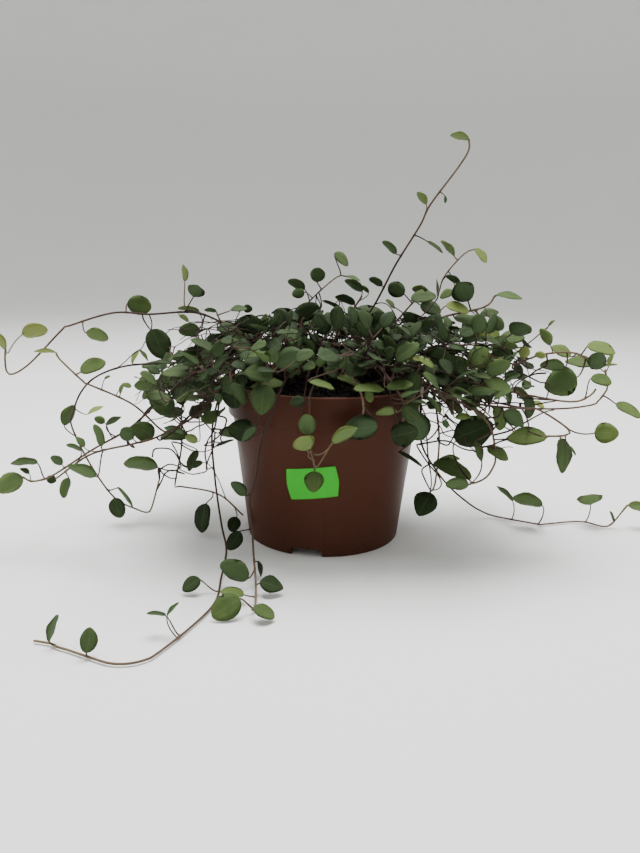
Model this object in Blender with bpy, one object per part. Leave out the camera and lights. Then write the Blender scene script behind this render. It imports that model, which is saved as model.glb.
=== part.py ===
"""A potted wire vine: a plastic nursery pot with its soil and a blank price label, and the leafy
stems that rise from the soil, arch over the rim and trail down to the surface.

Lengths are in millimetres in the constants and the planning, and become metres in the meshes.
+Z is up, and the front looks along -Y. Everything is planned around the middle of the pot's foot,
and then stands off the origin, so that the origin is under the middle of the whole plant's box.
"""
import math

import bmesh
import bpy
import numpy as np

MM = 0.001

# Where the pot's middle stands
POT_ACROSS = -9.0
POT_BACK = 35.9

# The pot, from its foot up to its rim
POT_TALL = 84.5
FOOT_OUTER = 41.0
BODY_OUTER = 49.2
COLLAR_LOW = 67.4
COLLAR_OUTER = 51.3
RIM_OUTER = 52.5
RIM_MIDDLE = 51.5
RIM_ROUND = 0.6
WALL = 1.2
COLLAR_WALL = 1.4
FOOT_RING = 2.4
PLATE_LOW = 4.6
PLATE_TOP = 6.0
POT_SIDES = 36
NOTCH_COUNT = 3
NOTCH_WIDE = 16.0
NOTCH_TALL = 4.1
NOTCH_FIRST = -102.0      # degrees around the pot from +X
DRAIN_COUNT = 4
DRAIN_RADIUS = 3.5
DRAIN_RING = 22.0
DRAIN_SIDES = 8
SEAT = 0.3                # gap between touching pieces

# The soil
SOIL_TOP = 82.0
SOIL_EDGE = 80.5
HOLE_SIDES = 5
HOLE_RADIUS = 1.55
HOLE_COUNT = 48
HOLE_SPREAD = 5.4

# The label
LABEL_WIDE = 26.0
LABEL_TALL = 16.0
LABEL_THICK = 0.4
LABEL_HEIGHT = 40.5
LABEL_TURN = -97.2        # degrees around the pot from +X
LABEL_TILT = 3.0
LABEL_COLUMNS = 8
LABEL_END = 1.1           # how far each end bulges past its corners

# The stems
SEED = 11
GOLDEN_ANGLE = math.radians(137.508)
STEM_FOOT = 69.0
STEM_THICK = 0.9
STEM_THIN = 0.62
STEM_SIDES = 4
STEM_TURN = 20.0
STEM_REACH = 24.0
STEM_SHORT = 3.0
STEM_APART = 2.5
STEM_CLEAR = 1.2
CLEAR_ROUNDS = 60
MOUND_STEMS = 15
MOUND_REACH = 52.0
MOUND_STRETCH = 34.0
MOUND_CREST = (98.0, 118.0)
MOUND_END = (62.0, 96.0)
SLENDER = ("right_thin", "second_shoot", "front_sprig", "left_crest", "crest_left")

# The leaves
LEAF_PROPORTION = 0.8     # width to length
LEAF_SIZES = (11.0, 17.0)
LEAF_SPACING = (13.5, 19.5)
LEAF_TRIES = 14
LEAF_LOWEST = 0.9
BLADE_GAP = 0.78
BLADE_THICK = 1.1         # at the middle, from which it thins to its edge
STALK_RADIUS = 0.42
STALK_BEND = 11.0
SLIVER = 0.004            # shorter edges are merged after joining
SHORTEST_STALK = 1.5
AHEAD_COST = 1.5          # how much a stalk avoids starting in front of its blade
SMALL_LEAF = 12.0         # a shorter blade has fewer edge points
FIRST_LEAF = 14.0
CROWN_RUN = 70
DEPTH_TRIES = (0, 3, -3, 6, -6, 9, -8, 12, -11, 16, -15, 21, -20, 27, -26, 34)

# Places in this section are millimetres. A place that was judged from the front is written as the eye
# sees it: across and up on the upright plane through the pot's axis, then how near, in front of that plane.
EYE = np.array([-2.4, -396.0, 151.0])
FLOOR = None      # stands for "as near as it lies on the surface"

# Each traced vine: its route from the crown outwards, and its leaves. A leaf is written as the places of
# its base and its tip, the width that shows, and its tone from 0 for old and dark to 1 for young and pale.
VINES = {
    "high_left": {
        "route": [(-30, 100, 0), (-44, 108, 4), (-54, 113, 8), (-63, 117.5, 10), (-72, 119, 12),
                  (-82, 118, 13), (-91, 117.5, 14), (-100, 118.3, 15), (-110, 118.3, 16),
                  (-120, 115.5, 17), (-130, 112.5, 18), (-138, 109.5, 19), (-144, 103.5, 20),
                  (-150, 97, 21), (-157, 91, 22), (-163, 87, 22), (-168, 84.3, 23), (-170, 86, 24),
                  (-170.6, 91, 25), (-169.6, 98, 26)],
        "leaves": [(-169.6, 98, -177, 108.5, 5, 1.0), (-160.5, 106.5, -147.5, 109, 8, 1.0),
                   (-104, 123.5, -91.5, 121, 10.5, 0.3), (-92.3, 109.5, -84.5, 94.5, 13, 0.1),
                   (-126.5, 107.7, -115, 104.6, 7, 0.6), (-73.6, 134.8, -74, 143.5, 3.6, 0.9),
                   (-69.4, 127, -66.5, 133, 9.5, 0.25), (-66.5, 119.5, -77.5, 121.3, 3, 0.7),
                   (-77, 117.4, -72, 114.2, 2.8, 0.8), (-66.3, 109.3, -77.6, 109.5, 7.5, 0.3)],
    },
    "left_crest": {
        "route": [(-28, 98, 12), (-42, 106, 15), (-51, 111, 17), (-56, 115.5, 18), (-57.5, 119.5, 18)],
        "leaves": [(-57.5, 119.5, -64, 120.5, 2.5, 0.4), (-57.3, 120.5, -55.3, 124.3, 2.5, 0.4),
                   (-50, 120.5, -41.5, 121.5, 3.5, 0.3), (-43.5, 121.5, -38.8, 121, 4.5, 0.0),
                   (-48, 113, -31, 112, 10, 0.1), (-54, 108.5, -40, 104, 11, 0.15),
                   (-57, 110, -47, 112, 6, 0.15)],
    },
    "second_left": {
        "route": [(-30, 92, -10), (-45, 93, -12), (-60, 92.5, -13), (-80, 92, -12), (-98, 91.5, -10),
                  (-110, 89, -8), (-119, 86, -6), (-126, 81, -5), (-131, 75.5, -4), (-134.5, 69, -3),
                  (-136.5, 62, -2), (-137, 56, -2), (-135, 50, -2), (-131, 41, -2), (-126, 31, -2),
                  (-120, 21.5, -2), (-115, 15.5, -2), (-108, 11.5, -2), (-98, 8, -2), (-94.7, 13, -3),
                  (-93.2, 21, -4), (-90.5, 27.5, -5)],
        "leaves": [(-141.5, 57, -135.7, 68, 7, 0.2), (-128, 63.5, -120, 68, 2.5, 0.7),
                   (-116, 16, -113, 4.7, 9, 0.15), (-114, 22.5, -105.2, 11, 2.2, 0.3),
                   (-103, 91.5, -99.5, 98.5, 2.5, 0.7), (-99, 99, -94, 93, 2, 0.6),
                   (-69.5, 80, -88.5, 85, 14, 0.15), (-84, 90, -97.5, 90.5, 4.5, 0.1),
                   (-69.5, 93, -82, 95.5, 5.5, 0.2)],
    },
    "left_riser": {
        "route": [(-32, 92, 20), (-48, 90, 22), (-59, 80, 23), (-69, 67, 24), (-79, 57.5, 25),
                  (-87, 54.5, 25), (-93, 60, 26), (-97, 64.5, 26), (-104, 69.5, 26), (-112, 74, 26),
                  (-120, 78, 26), (-128, 80.3, 26), (-132, 84, 26), (-136, 88, 26), (-140, 90.5, 26),
                  (-142.8, 96.5, 26)],
        "leaves": [(-143.5, 97, -154, 97.5, 2.6, 1.0), (-130.7, 86.5, -117.8, 92.5, 8, 0.35),
                   (-118, 83, -115, 84.6, 1.6, 0.2), (-110, 75, -108, 81, 2.2, 0.3),
                   (-108, 80, -103.8, 79, 3, 0.5), (-90, 78.5, -102, 80, 7, 0.3),
                   (-76, 53.5, -87, 57, 4, 0.1), (-73, 52, -89, 51.5, 6, 0.3),
                   (-68, 62, -71.5, 69.5, 8, 0.15), (-70.5, 75, -79.5, 72, 5, 0.7)],
    },
    "left_tuft_upper": {
        "route": [(-34, 96, 26), (-56, 93, 30), (-74, 84, 32), (-88, 72, 33), (-95, 66, 33),
                  (-100, 61.5, 33), (-107, 55, 33), (-113, 51.5, 33), (-120, 48, 33), (-126, 44, 33),
                  (-132, 40, 33), (-139, 35, 33), (-145, 30.5, 33), (-151, 28, 33), (-157, 25.3, 33),
                  (-163, 25.5, 33), (-166, 27.5, 33)],
        "leaves": [(-166, 27.5, -180, 20, 11.5, 0.55), (-157, 36, -171, 35.5, 4.5, 0.25),
                   (-153, 27, -147.5, 25.5, 5, 0.05), (-143.5, 35, -149.5, 39.5, 5, 0.1),
                   (-119, 59, -124.5, 61.5, 4.5, 0.35), (-118.5, 57.5, -110.5, 62.3, 3.5, 0.1),
                   (-92.5, 52, -104, 57, 11, 0.1), (-59, 74, -64, 81.5, 8, 0.2),
                   (-53, 73, -57.5, 84, 9, 0.5), (-162, 29.5, -167, 32.5, 3, 0.3)],
    },
    "left_tuft_lower": {
        "route": [(-30, 88, 34), (-46, 85, 38), (-57, 76, 40), (-66, 66, 40), (-76, 60, 40),
                  (-86, 54, 40), (-96, 49, 40), (-105, 47, 40), (-114, 46.3, 40), (-123, 43, 40),
                  (-131, 39, 40), (-137, 33.5, 40), (-142, 29.5, 40), (-148, 26.5, 40)],
        "leaves": [(-140.5, 27.5, -144.5, 16.5, 5.5, 0.45), (-125.5, 28.5, -140, 34.5, 7, 0.3),
                   (-121.5, 45.5, -124.3, 58, 5, 0.2), (-132.5, 43, -140.5, 46.5, 3, 0.2),
                   (-131, 45, -135, 51, 4, 0.15), (-104, 50, -110.5, 55.5, 8, 0.1),
                   (-57.5, 54, -43, 54.5, 6.5, 0.1), (-69, 49, -75.5, 52, 5, 0.8)],
    },
    "left_kink": {
        "route": [(-28, 96, -8), (-48, 98, -14), (-62, 94, -16), (-72, 82, -16), (-77, 68, -15),
                  (-77.5, 52, -14), (-78.5, 40, -13), (-80.5, 30, -12), (-82, 24.5, -11),
                  (-77, 23, -11), (-68, 21.3, -10), (-60, 20, -9), (-54, 16, -8), (-48.5, 11, -7),
                  (-44.5, 7, -6)],
        "leaves": [(-65.2, 13.7, -68.3, -2.5, 9, 0.1), (-48.3, 6, -51, -2, 7.5, 0.15),
                   (-91, 34.3, -109.5, 36.8, 8, 0.4), (-69, 44, -74.5, 33, 5, 0.35),
                   (-66.5, 37.5, -73, 34.5, 4, 0.15), (-60, 46, -49.5, 50.8, 2, 0.05),
                   (-76, 66, -86, 63.5, 6, 0.1)],
    },
    "long_floor": {
        "route": [(-28, 91, 30), (-42, 92, 36), (-53, 85, 39), (-58.5, 72, 40), (-60.5, 60, 41),
                  (-61.7, 48, 42), (-61, 38, 43), (-59.8, 28, 45), (-58.8, 18, 48), (-57.8, 8, 50),
                  (-56.2, -1, 52), (-54.6, -9, 55), (-54.2, -15, 58), (-55.3, -22, 63),
                  (-56.8, -28, 68), (-58, -34, FLOOR), (-59, -40, FLOOR), (-61, -46, FLOOR),
                  (-65, -52, FLOOR), (-72, -59, FLOOR), (-80, -66, FLOOR), (-90, -75, FLOOR),
                  (-98, -81, FLOOR), (-105, -84.5, FLOOR), (-115, -86.5, FLOOR),
                  (-125, -86, FLOOR), (-131, -84, FLOOR), (-137, -80.5, FLOOR),
                  (-145, -78.5, FLOOR), (-152, -77, FLOOR), (-157, -74, FLOOR),
                  (-163, -73, FLOOR), (-167, -72.3, FLOOR)],
        "leaves": [(-69.5, -31.5, -79, -38.5, 8.5, 0.2), (-89.5, -54.5, -100.5, -53, 2.8, 0.3),
                   (-89, -54.5, -83, -47, 2.5, 0.3), (-137, -79.5, -134, -65, 10.5, 0.35),
                   (-158.5, -72.5, -153.5, -57.5, 5, 0.4)],
    },
    "pot_left": {
        "route": [(-14, 92, 36), (-21, 84, 50), (-25, 75, 55), (-27.5, 67, 53), (-32, 58, 48),
                  (-35, 48, 43), (-36, 40, 39), (-36.8, 32, 37), (-39.5, 22, 35), (-41, 15, 35),
                  (-40, 8, 38), (-39.5, 0, 44), (-39, -10, 54), (-39, -20, 66), (-38, -30, 79),
                  (-37, -40, 91), (-38, -47, 99), (-40, -50.5, 103)],
        "leaves": [(-43, 18.7, -50.7, 26.5, 6.8, 0.1), (-35.5, -33, -21.8, -36.5, 10, 0.2),
                   (-39.3, -49, -26.8, -54.5, 8, 0.5), (-42, -31, -57.3, -21.5, 12, 0.4),
                   (-44.5, -41, -58, -38.8, 6, 0.75), (-47, -43, -61.5, -54.5, 15, 0.45),
                   (-36.5, -20, -34.5, -29, 2.8, 0.05), (-46.5, -2.5, -52.5, -13, 8.5, 0.1)],
    },
    "front_sprig": {
        "route": [(-3, 93, 30), (-6, 85, 46), (-8, 75, 56), (-8.5, 64, 58), (-8, 54, 58),
                  (-7, 44, 57), (-4.5, 34, 56)],
        "leaves": [(4.5, 49.5, 17.5, 58.5, 7.5, 0.8), (-9.3, 45, -12.5, 52.8, 12.8, 0.85),
                   (-9, 53.5, -9.6, 65, 10, 0.45), (-5, 33, -5.6, 22.2, 11, 0.5),
                   (-11, 73, -19, 71, 6.5, 0.0)],
    },
    "front_left": {
        "route": [(-12, 96, 26), (-21, 94, 40), (-29, 87, 52), (-34, 79, 57), (-36, 73, 58)],
        "leaves": [(-33, 81, -34, 65.5, 14, 0.2), (-21.5, 81.5, -40, 80.5, 6, 0.4),
                   (-28, 85.5, -43, 88.5, 10, 0.3), (-29.5, 96.5, -44, 98, 6, 0.45),
                   (-12, 97.5, -26.5, 92, 13.5, 0.15), (-37, 58, -45, 50, 6, 0.0)],
    },
    "front_right": {
        "route": [(4, 98, 24), (9, 93, 38), (14, 86, 50), (19, 78, 57), (21, 69, 58), (20, 63, 57)],
        "leaves": [(-8.5, 83, 5, 80, 4, 0.5), (6, 86, 20.5, 81.5, 4.5, 0.6),
                   (15.5, 79.5, 32, 80, 5.5, 0.5), (22.5, 79, 25, 72.5, 5, 0.5),
                   (29, 60, 10, 55.5, 14, 0.0), (8, 91, 0.5, 89.5, 2.5, 0.4), (8.5, 90, 12, 100, 6.5, 0.4)],
    },
    "front_far_right": {
        "route": [(16, 96, 22), (26, 94, 36), (34, 86, 46), (40, 77, 51), (43, 68, 52), (42, 60, 50)],
        "leaves": [(39, 67.5, 27.5, 66.3, 5, 0.75), (36.5, 53, 50, 57, 14, 0.05),
                   (42, 70, 51, 63, 9, 0.2), (33, 80.5, 47, 83, 6.5, 0.45),
                   (52, 95.5, 43.5, 97, 3.5, 0.9), (57.5, 91.5, 49, 97.5, 4, 0.7)],
    },
    "tall_shoot": {
        "route": [(12, 98, -6), (18, 110, -8), (23, 120, -9), (27, 128, -10), (30.5, 135, -10),
                  (35.5, 145, -10), (40, 151, -10), (44, 155, -10), (46, 160, -10), (47.5, 166, -10),
                  (50, 172, -10), (55, 179, -10), (60, 186, -10), (65, 193, -10), (69, 199, -10),
                  (69.9, 203, -10), (69.5, 206.5, -10)],
        "leaves": [(69.5, 206.5, 60.3, 208.5, 4, 0.85), (50, 175, 45, 181, 4, 0.8),
                   (59, 179.3, 59.5, 175.5, 1.6, 0.3), (35.5, 150.3, 28.5, 156.8, 4, 0.35),
                   (51.2, 156.8, 59.7, 151.5, 2, 0.15), (29, 134, 22, 138, 4, 0.1)],
    },
    "second_shoot": {
        "route": [(24, 98, 2), (38, 108, 3), (50, 118, 3), (57, 127, 3), (59, 134, 3),
                  (61, 139.5, 3), (65, 144, 3), (69, 149.7, 3), (73, 152, 3), (76, 153.3, 3)],
        "leaves": [(76, 153.5, 82.5, 146.7, 4, 0.75), (65.5, 149.7, 58.5, 157.5, 3.6, 0.75),
                   (61.5, 139.5, 70, 135.5, 3.5, 0.1), (57.5, 130, 57.3, 138, 1.4, 0.5),
                   (66, 132, 59, 128.5, 4.5, 0.4)],
    },
    "crest_left": {
        "route": [(-12, 104, -8), (-12, 115, -10), (-9.5, 124, -11), (-5, 129.5, -12), (0, 134, -12),
                  (5, 138, -12), (10, 138.6, -12)],
        "leaves": [(10, 138.6, 17.5, 136.8, 2, 0.3), (3.8, 150.5, 11, 144, 5, 0.4),
                   (-5, 135.3, -4.5, 143, 8, 0.35), (-11.3, 131.7, -20, 136.3, 5.2, 0.25),
                   (-11.5, 130.3, -18, 128.8, 5.5, 0.3), (-3, 122, -17.5, 117, 10, 0.1),
                   (-15, 113, -30, 109, 9, 0.15), (-18, 120.5, -29, 119.5, 3, 0.2)],
    },
    "crest_middle": {
        "route": [(4, 104, -18), (10, 115, -21), (15, 123, -22), (18.5, 128.5, -22)],
        "leaves": [(18.8, 131, 9.5, 137, 4.8, 0.25), (22, 130.5, 17.5, 134, 2.5, 0.7),
                   (15, 124.5, 4.5, 128.5, 4.5, 0.1), (8, 121.5, -2, 126.5, 2.2, 0.2),
                   (32, 115, 13.5, 121, 11, 0.15), (-6, 100.5, 8, 103, 8.5, 0.1)],
    },
    "crest_right": {
        "route": [(26, 102, -14), (36, 113, -16), (42, 122, -17), (46.5, 127.5, -17), (50, 131, -17)],
        "leaves": [(40.5, 130, 32, 134.5, 8.5, 0.05), (44.3, 132.8, 53.5, 131.5, 4, 0.7),
                   (44, 127.5, 57, 129.5, 7, 0.3), (31, 127, 36, 122.5, 2.5, 0.3),
                   (49, 124.5, 60, 121, 7.5, 0.15)],
    },
    "right_crest": {
        "route": [(32, 100, 8), (46, 110, 10), (58, 117, 11), (70, 121, 11), (80.5, 122.5, 11),
                  (84.5, 127, 11), (88, 130.3, 11)],
        "leaves": [(88.3, 130.3, 101.8, 129, 3.6, 0.3), (74, 126.8, 68, 136.3, 12.5, 0.1),
                   (62.5, 124.8, 74.5, 121.5, 5.5, 0.8), (80.5, 120, 90, 121.5, 4.5, 0.2),
                   (67, 118, 80, 116, 5, 0.3), (86, 118.5, 93, 112.5, 7, 0.1)],
    },
    "right_thin": {
        "route": [(34, 98, -2), (58, 103, 0), (78, 104, 2), (92, 103.5, 4), (100, 102.5, 5),
                  (106, 104.7, 6), (112, 110, 6), (116.5, 114, 6)],
        "leaves": [(116.7, 114.2, 119.8, 117.8, 1.6, 0.6), (92, 107.5, 104.5, 108.5, 7.5, 0.25),
                   (91.5, 109, 79.8, 111.5, 9, 0.75), (97, 104.5, 90, 95.5, 11, 0.05),
                   (94.5, 104, 101.5, 103.3, 4, 0.6)],
    },
    "right_upper": {
        "route": [(32, 95, 18), (54, 100, 22), (75, 101.5, 23), (90, 97, 23), (100, 94, 23),
                  (107, 97, 23), (115, 99.5, 23), (122, 99.6, 23), (128, 100.6, 23), (131, 100.6, 23),
                  (137, 98.5, 23), (141, 96, 23)],
        "leaves": [(138, 104.7, 152.5, 101.5, 6.5, 0.5), (129.8, 98.5, 120, 104, 6, 0.45),
                   (127.5, 93, 114.5, 94, 6.5, 0.25), (143, 94.5, 128, 96.5, 6.5, 0.2),
                   (134, 88, 118, 81.5, 17, 0.3), (142, 92, 146.5, 101, 9.5, 0.05),
                   (118.7, 104.5, 113, 113, 5.5, 0.65), (104, 97.5, 106.5, 103.5, 6, 0.95),
                   (111, 99.7, 116.5, 98.5, 4, 0.95), (60, 88.5, 61, 102.5, 17, 0.2),
                   (80, 91, 63, 98.3, 4.5, 0.7)],
    },
    "right_middle_front": {
        "route": [(30, 90, 32), (50, 92, 36), (72, 86, 38), (90, 80.5, 38), (104, 78.3, 38),
                  (112, 77, 38), (120, 75.6, 38), (127, 74.5, 38), (132, 74.2, 38), (138, 76.3, 38),
                  (142, 77.5, 38), (145, 81.5, 38)],
        "leaves": [(141.8, 87.5, 152.3, 85, 6.5, 0.3), (105, 81.8, 112, 82.5, 2, 0.1),
                   (108.5, 77.5, 111, 65, 6, 0.05), (85, 84, 99, 81, 8, 0.3),
                   (100.5, 81.5, 110, 74, 5, 0.35), (86, 89, 98, 95, 9, 0.35)],
    },
    "right_middle_back": {
        "route": [(34, 88, 4), (58, 86, 5), (80, 77, 6), (95, 72.5, 6), (110, 70.2, 6), (120, 70, 6),
                  (130, 70.5, 6), (139, 71.5, 6), (145, 73.3, 6), (149, 77.5, 6), (151, 83, 6),
                  (150, 88, 6), (148.8, 92, 6)],
        "leaves": [(156.5, 73.5, 169.5, 67.3, 6, 0.35), (150.5, 93.5, 152, 101, 2.5, 0.4),
                   (146, 93.5, 154.5, 95, 1.6, 0.7), (88, 79, 75, 80, 8, 0.1),
                   (112, 74, 118, 71, 3, 0.8)],
    },
    "right_loop": {
        "route": [(36, 84, 40), (56, 82, 46), (76, 74, 48), (95, 70, 48), (113, 70, 46), (120, 67, 45),
                  (125, 63.5, 45), (130, 60.8, 45), (133, 57.8, 45), (131, 55.6, 45), (125, 55, 45),
                  (118, 54.8, 45)],
        "leaves": [(146.5, 57.3, 158.3, 57.3, 11.5, 0.45), (129, 54, 131.7, 35, 8.5, 0.15),
                   (121, 54.3, 99, 54, 10.5, 0.4), (96.5, 68.5, 107.5, 61, 9, 0.05),
                   (133, 50, 137.5, 45, 1.6, 0.4)],
    },
    "right_hang": {
        "route": [(34, 86, 44), (52, 82, 51), (68, 75, 54), (82, 68, 54), (90, 59, 53), (92.7, 50, 52),
                  (93.8, 41, 52), (91, 33, 52), (86, 28.7, 52), (80.5, 27.5, 52)],
        "leaves": [(80.3, 26.8, 67.5, 27, 7.5, 0.35), (89, 48, 100.5, 42, 6.5, 0.3),
                   (71, 52, 91, 62, 17, 0.05), (82, 51, 86.5, 41, 4.5, 0.3),
                   (70.5, 64.5, 79, 65.5, 4, 0.6), (64, 63, 67, 59, 3.5, 0.0)],
    },
    "right_drop": {
        "route": [(30, 92, 14), (46, 92, 20), (56, 82, 23), (60.5, 68, 24), (62.3, 55, 25),
                  (62.8, 45, 26), (63, 36, 27), (61.5, 27, 28), (59.3, 22.7, 28)],
        "leaves": [(59, 22, 54, 9.3, 13.5, 0.1), (60, 39, 81, 32, 9, 0.4), (63, 40.5, 74.5, 42, 4, 0.5),
                   (54, 52, 47, 66, 15, 0.1)],
    },
    "lower_right": {
        "route": [(26, 93, 22), (40, 88, 30), (47.5, 82.5, 33), (51.5, 74, 33), (51.5, 64, 30),
                  (52.5, 52, 25), (56, 44, 19), (60.5, 36.5, 12), (65.5, 30, 5), (71, 24, -2),
                  (77, 18.8, -8), (83, 14.4, -14), (90, 10.6, -20), (98, 8, FLOOR),
                  (105, 6.3, FLOOR), (112, 5.2, FLOOR), (118, 4.4, FLOOR), (122, 4, FLOOR),
                  (126, 4.7, FLOOR), (135, 5.7, FLOOR), (143, 6, FLOOR), (148, 5.5, FLOOR),
                  (154, 3.8, FLOOR), (158, 3.2, FLOOR), (161.5, 5.5, -6), (164, 9, -6),
                  (167, 14.5, -6), (169, 16.6, -6)],
        "leaves": [(169.3, 16.7, 181, 13.5, 5.5, 0.85), (105.3, 17.8, 96.5, 26, 3, 0.5),
                   (121.8, 15.8, 105.5, 20, 7.5, 0.5), (148.5, 16.3, 147, 22, 14, 0.6),
                   (162.3, 6.5, 160, 12.3, 1.6, 0.3), (41, 45, 54, 37.5, 2.5, 0.2)],
    },
}


def seen(across, up, near, lift=1.0):
    """The place that looks to be at (across, up) on the plane through the axis and stands near in
    front of it. Where near is FLOOR, the sight line is followed down to lift above the surface."""
    plane = np.array([across, 0.0, up])
    if near is FLOOR:
        share = (lift - EYE[2]) / (plane[2] - EYE[2])
    else:
        share = (near + EYE[1]) / EYE[1]
    return EYE + (plane - EYE) * share


def unit(vector):
    """The vector at length 1."""
    return vector / max(np.linalg.norm(vector), 1e-9)


def smooth_curve(points, step):
    """A Catmull-Rom curve through the points: on each span, half of the sum of the four nearest
    points weighed by cubics of the share along the span."""
    points = np.asarray(points, float)
    padded = np.vstack([2 * points[0] - points[1], points, 2 * points[-1] - points[-2]])
    curve = []
    for before, start, end, after in zip(padded, padded[1:], padded[2:], padded[3:]):
        count = max(2, int(np.linalg.norm(end - start) / step))
        for t in np.arange(count) / count:
            curve.append(0.5 * (2 * start + (end - before) * t
                                + (2 * before - 5 * start + 4 * end - after) * t ** 2
                                + (3 * start - before - 3 * end + after) * t ** 3))
    curve.append(points[-1])
    return np.array(curve)


def thin_out(curve, turn, reach):
    """The curve with a point kept only where it has turned by turn degrees or run reach."""
    kept = [curve[0], curve[1]]
    way = unit(curve[1] - curve[0])
    for here, following in zip(curve[1:], curve[2:]):
        step = unit(following - here)
        angle = math.degrees(math.acos(np.clip(step @ way, -1.0, 1.0)))
        if angle > turn or np.linalg.norm(following - kept[-1]) > reach:
            if np.linalg.norm(here - kept[-1]) > STEM_SHORT:
                kept.append(here)
                way = step
    kept.append(curve[-1])
    return np.array(kept)


def spaced_curve(points):
    """The stem's centre line, as few points as its bends need."""
    return thin_out(smooth_curve(points, 1.5), STEM_TURN, STEM_REACH)


def hole_places():
    """The holes in the soil: seeds of a sunflower, hole k at a radius that grows as the root of k."""
    places = []
    for k in range(HOLE_COUNT):
        radius = HOLE_SPREAD * math.sqrt(k + 0.6)
        angle = k * GOLDEN_ANGLE
        places.append(np.array([radius * math.cos(angle), radius * math.sin(angle)]))
    return places


def mound_route(number, draw):
    """One stem of the mound: it rises from the crown, arches over the rim and droops."""
    angle = number * GOLDEN_ANGLE + 0.4
    outward = np.array([math.cos(angle), math.sin(angle)])
    reach = MOUND_REACH + MOUND_STRETCH * abs(outward[0]) ** 1.5 + draw.uniform(-8, 8)
    crest = draw.uniform(*MOUND_CREST)
    end = draw.uniform(*MOUND_END)
    sway = draw.uniform(-14, 14) * np.array([-outward[1], outward[0]])
    heights = (0.55 * crest + 42, crest, 0.75 * crest + 0.25 * end, end)
    shares = (0.22, 0.48, 0.78, 1.0)
    return [np.append(outward * reach * share + sway * share ** 2, height)
            for share, height in zip(shares, heights)]


def planned_routes(draw):
    """Every stem's centre line by name, each from its own hole in the soil."""
    routes = {}
    for name, vine in VINES.items():
        routes[name] = [seen(*place) for place in vine["route"]]
    for number in range(MOUND_STEMS):
        routes[f"mound_{number + 1:02d}"] = mound_route(number, draw)
    free = hole_places()
    lines = {}
    for name, route in routes.items():
        lean = route[1][:2] * 0.45
        hole = min(free, key=lambda place: np.linalg.norm(place - lean))
        free = [place for place in free if place is not hole]
        foot = [np.append(hole, STEM_FOOT), np.append(hole, SOIL_TOP + 3.0)]
        lines[name] = np.vstack([foot[0], spaced_curve([foot[1]] + route)])
    return lines


def stem_radius(name, share):
    """A stem thins from its foot to its tip."""
    thick = STEM_THICK * (0.85 if name in SLENDER else 1.0)
    return thick + (STEM_THIN - thick) * share ** 1.3


def closest(p, q, a, b):
    """Shares along the segments p-q and a-b of their closest points, for arrays of segments."""
    u, v, w = q - p, b - a, p - a
    uu, uv, vv = (u * u).sum(-1), (u * v).sum(-1), (v * v).sum(-1)
    uw, vw = (u * w).sum(-1), (v * w).sum(-1)
    flat = np.maximum(uu * vv - uv * uv, 1e-9)
    s = np.clip((uv * vw - vv * uw) / flat, 0, 1)
    t = np.clip((uv * s + vw) / np.maximum(vv, 1e-9), 0, 1)
    s = np.clip((uv * t - uw) / np.maximum(uu, 1e-9), 0, 1)
    return s, t


def clear_of_pot(point, margin):
    """The point pushed out of the pot's wall, the soil and the surface below, by margin."""
    x, y, z = point
    radius = max(math.hypot(x, y), 1e-6)
    z = max(z, margin)
    if radius <= RIM_MIDDLE and z > SOIL_TOP - 8.0:
        near_rim = radius > RIM_MIDDLE - 4.0
        z = max(z, (POT_TALL if near_rim else SOIL_TOP) + margin)
    elif z < POT_TALL + margin:
        wall = RIM_OUTER if z > COLLAR_LOW - 3.0 else wall_radius(z)
        wanted = max(radius, wall + margin)
        x, y = x * wanted / radius, y * wanted / radius
    return np.array([x, y, z])


def wall_radius(z):
    """The pot's outer radius at height z below its collar."""
    return FOOT_OUTER + (BODY_OUTER - FOOT_OUTER) * min(max(z / COLLAR_LOW, 0.0), 1.0)


def bend_clear(lines):
    """Stems of different nodes that come too close are pushed apart, half each, many times over."""
    names = list(lines)
    points = np.vstack([lines[name] for name in names])
    owner = np.concatenate([[k] * len(lines[name]) for k, name in enumerate(names)])
    first = np.concatenate([np.arange(len(lines[name])) for name in names])
    start = np.where(owner[:-1] == owner[1:])[0]
    fixed = first <= 1
    i, j = np.triu_indices(len(start), 1)
    apart = owner[start[i]] != owner[start[j]]
    i, j = start[i[apart]], start[j[apart]]
    for _ in range(CLEAR_ROUNDS):
        middle = (points[:-1] + points[1:]) / 2
        half = np.linalg.norm(points[1:] - points[:-1], axis=1) / 2
        close = np.linalg.norm(middle[i] - middle[j], axis=1) < half[i] + half[j] + STEM_APART
        pairs = np.stack([i[close], j[close]], axis=1)
        p, q, a, b = (points[pairs[:, 0]], points[pairs[:, 0] + 1],
                      points[pairs[:, 1]], points[pairs[:, 1] + 1])
        s, t = closest(p, q, a, b)
        gap = (p + (q - p) * s[:, None]) - (a + (b - a) * t[:, None])
        length = np.linalg.norm(gap, axis=1)
        short = length < STEM_APART
        if not short.any():
            break
        push = np.zeros_like(points)
        for (first_end, second_end), s_share, t_share, way, size in zip(
                pairs[short], s[short], t[short], gap[short], length[short]):
            way = way / size if size > 0.05 else np.array([0.3, 0.5, 0.8])
            move = way * (STEM_APART + 0.3 - size) / 2
            push[first_end] += move * (1 - s_share)
            push[first_end + 1] += move * s_share
            push[second_end] -= move * (1 - t_share)
            push[second_end + 1] -= move * t_share
        push[fixed] = 0
        points = points + push
        for k in np.where(~fixed)[0]:
            points[k] = clear_of_pot(points[k], STEM_CLEAR)
        for k in start[~fixed[start]]:
            middle = (points[k] + points[k + 1]) / 2
            points[k:k + 2] += clear_of_pot(middle, STEM_CLEAR) - middle
    return {name: points[owner == k] for k, name in enumerate(names)}


def blade_half_width(share):
    """Half of a blade's width at a share of its length, where its greatest width is 1: a rounded
    base, the widest place a little below the middle, and a blunt tip."""
    return 0.5 * np.sin(np.pi * np.clip(share, 0, 1) ** 0.86) ** 0.62


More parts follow.
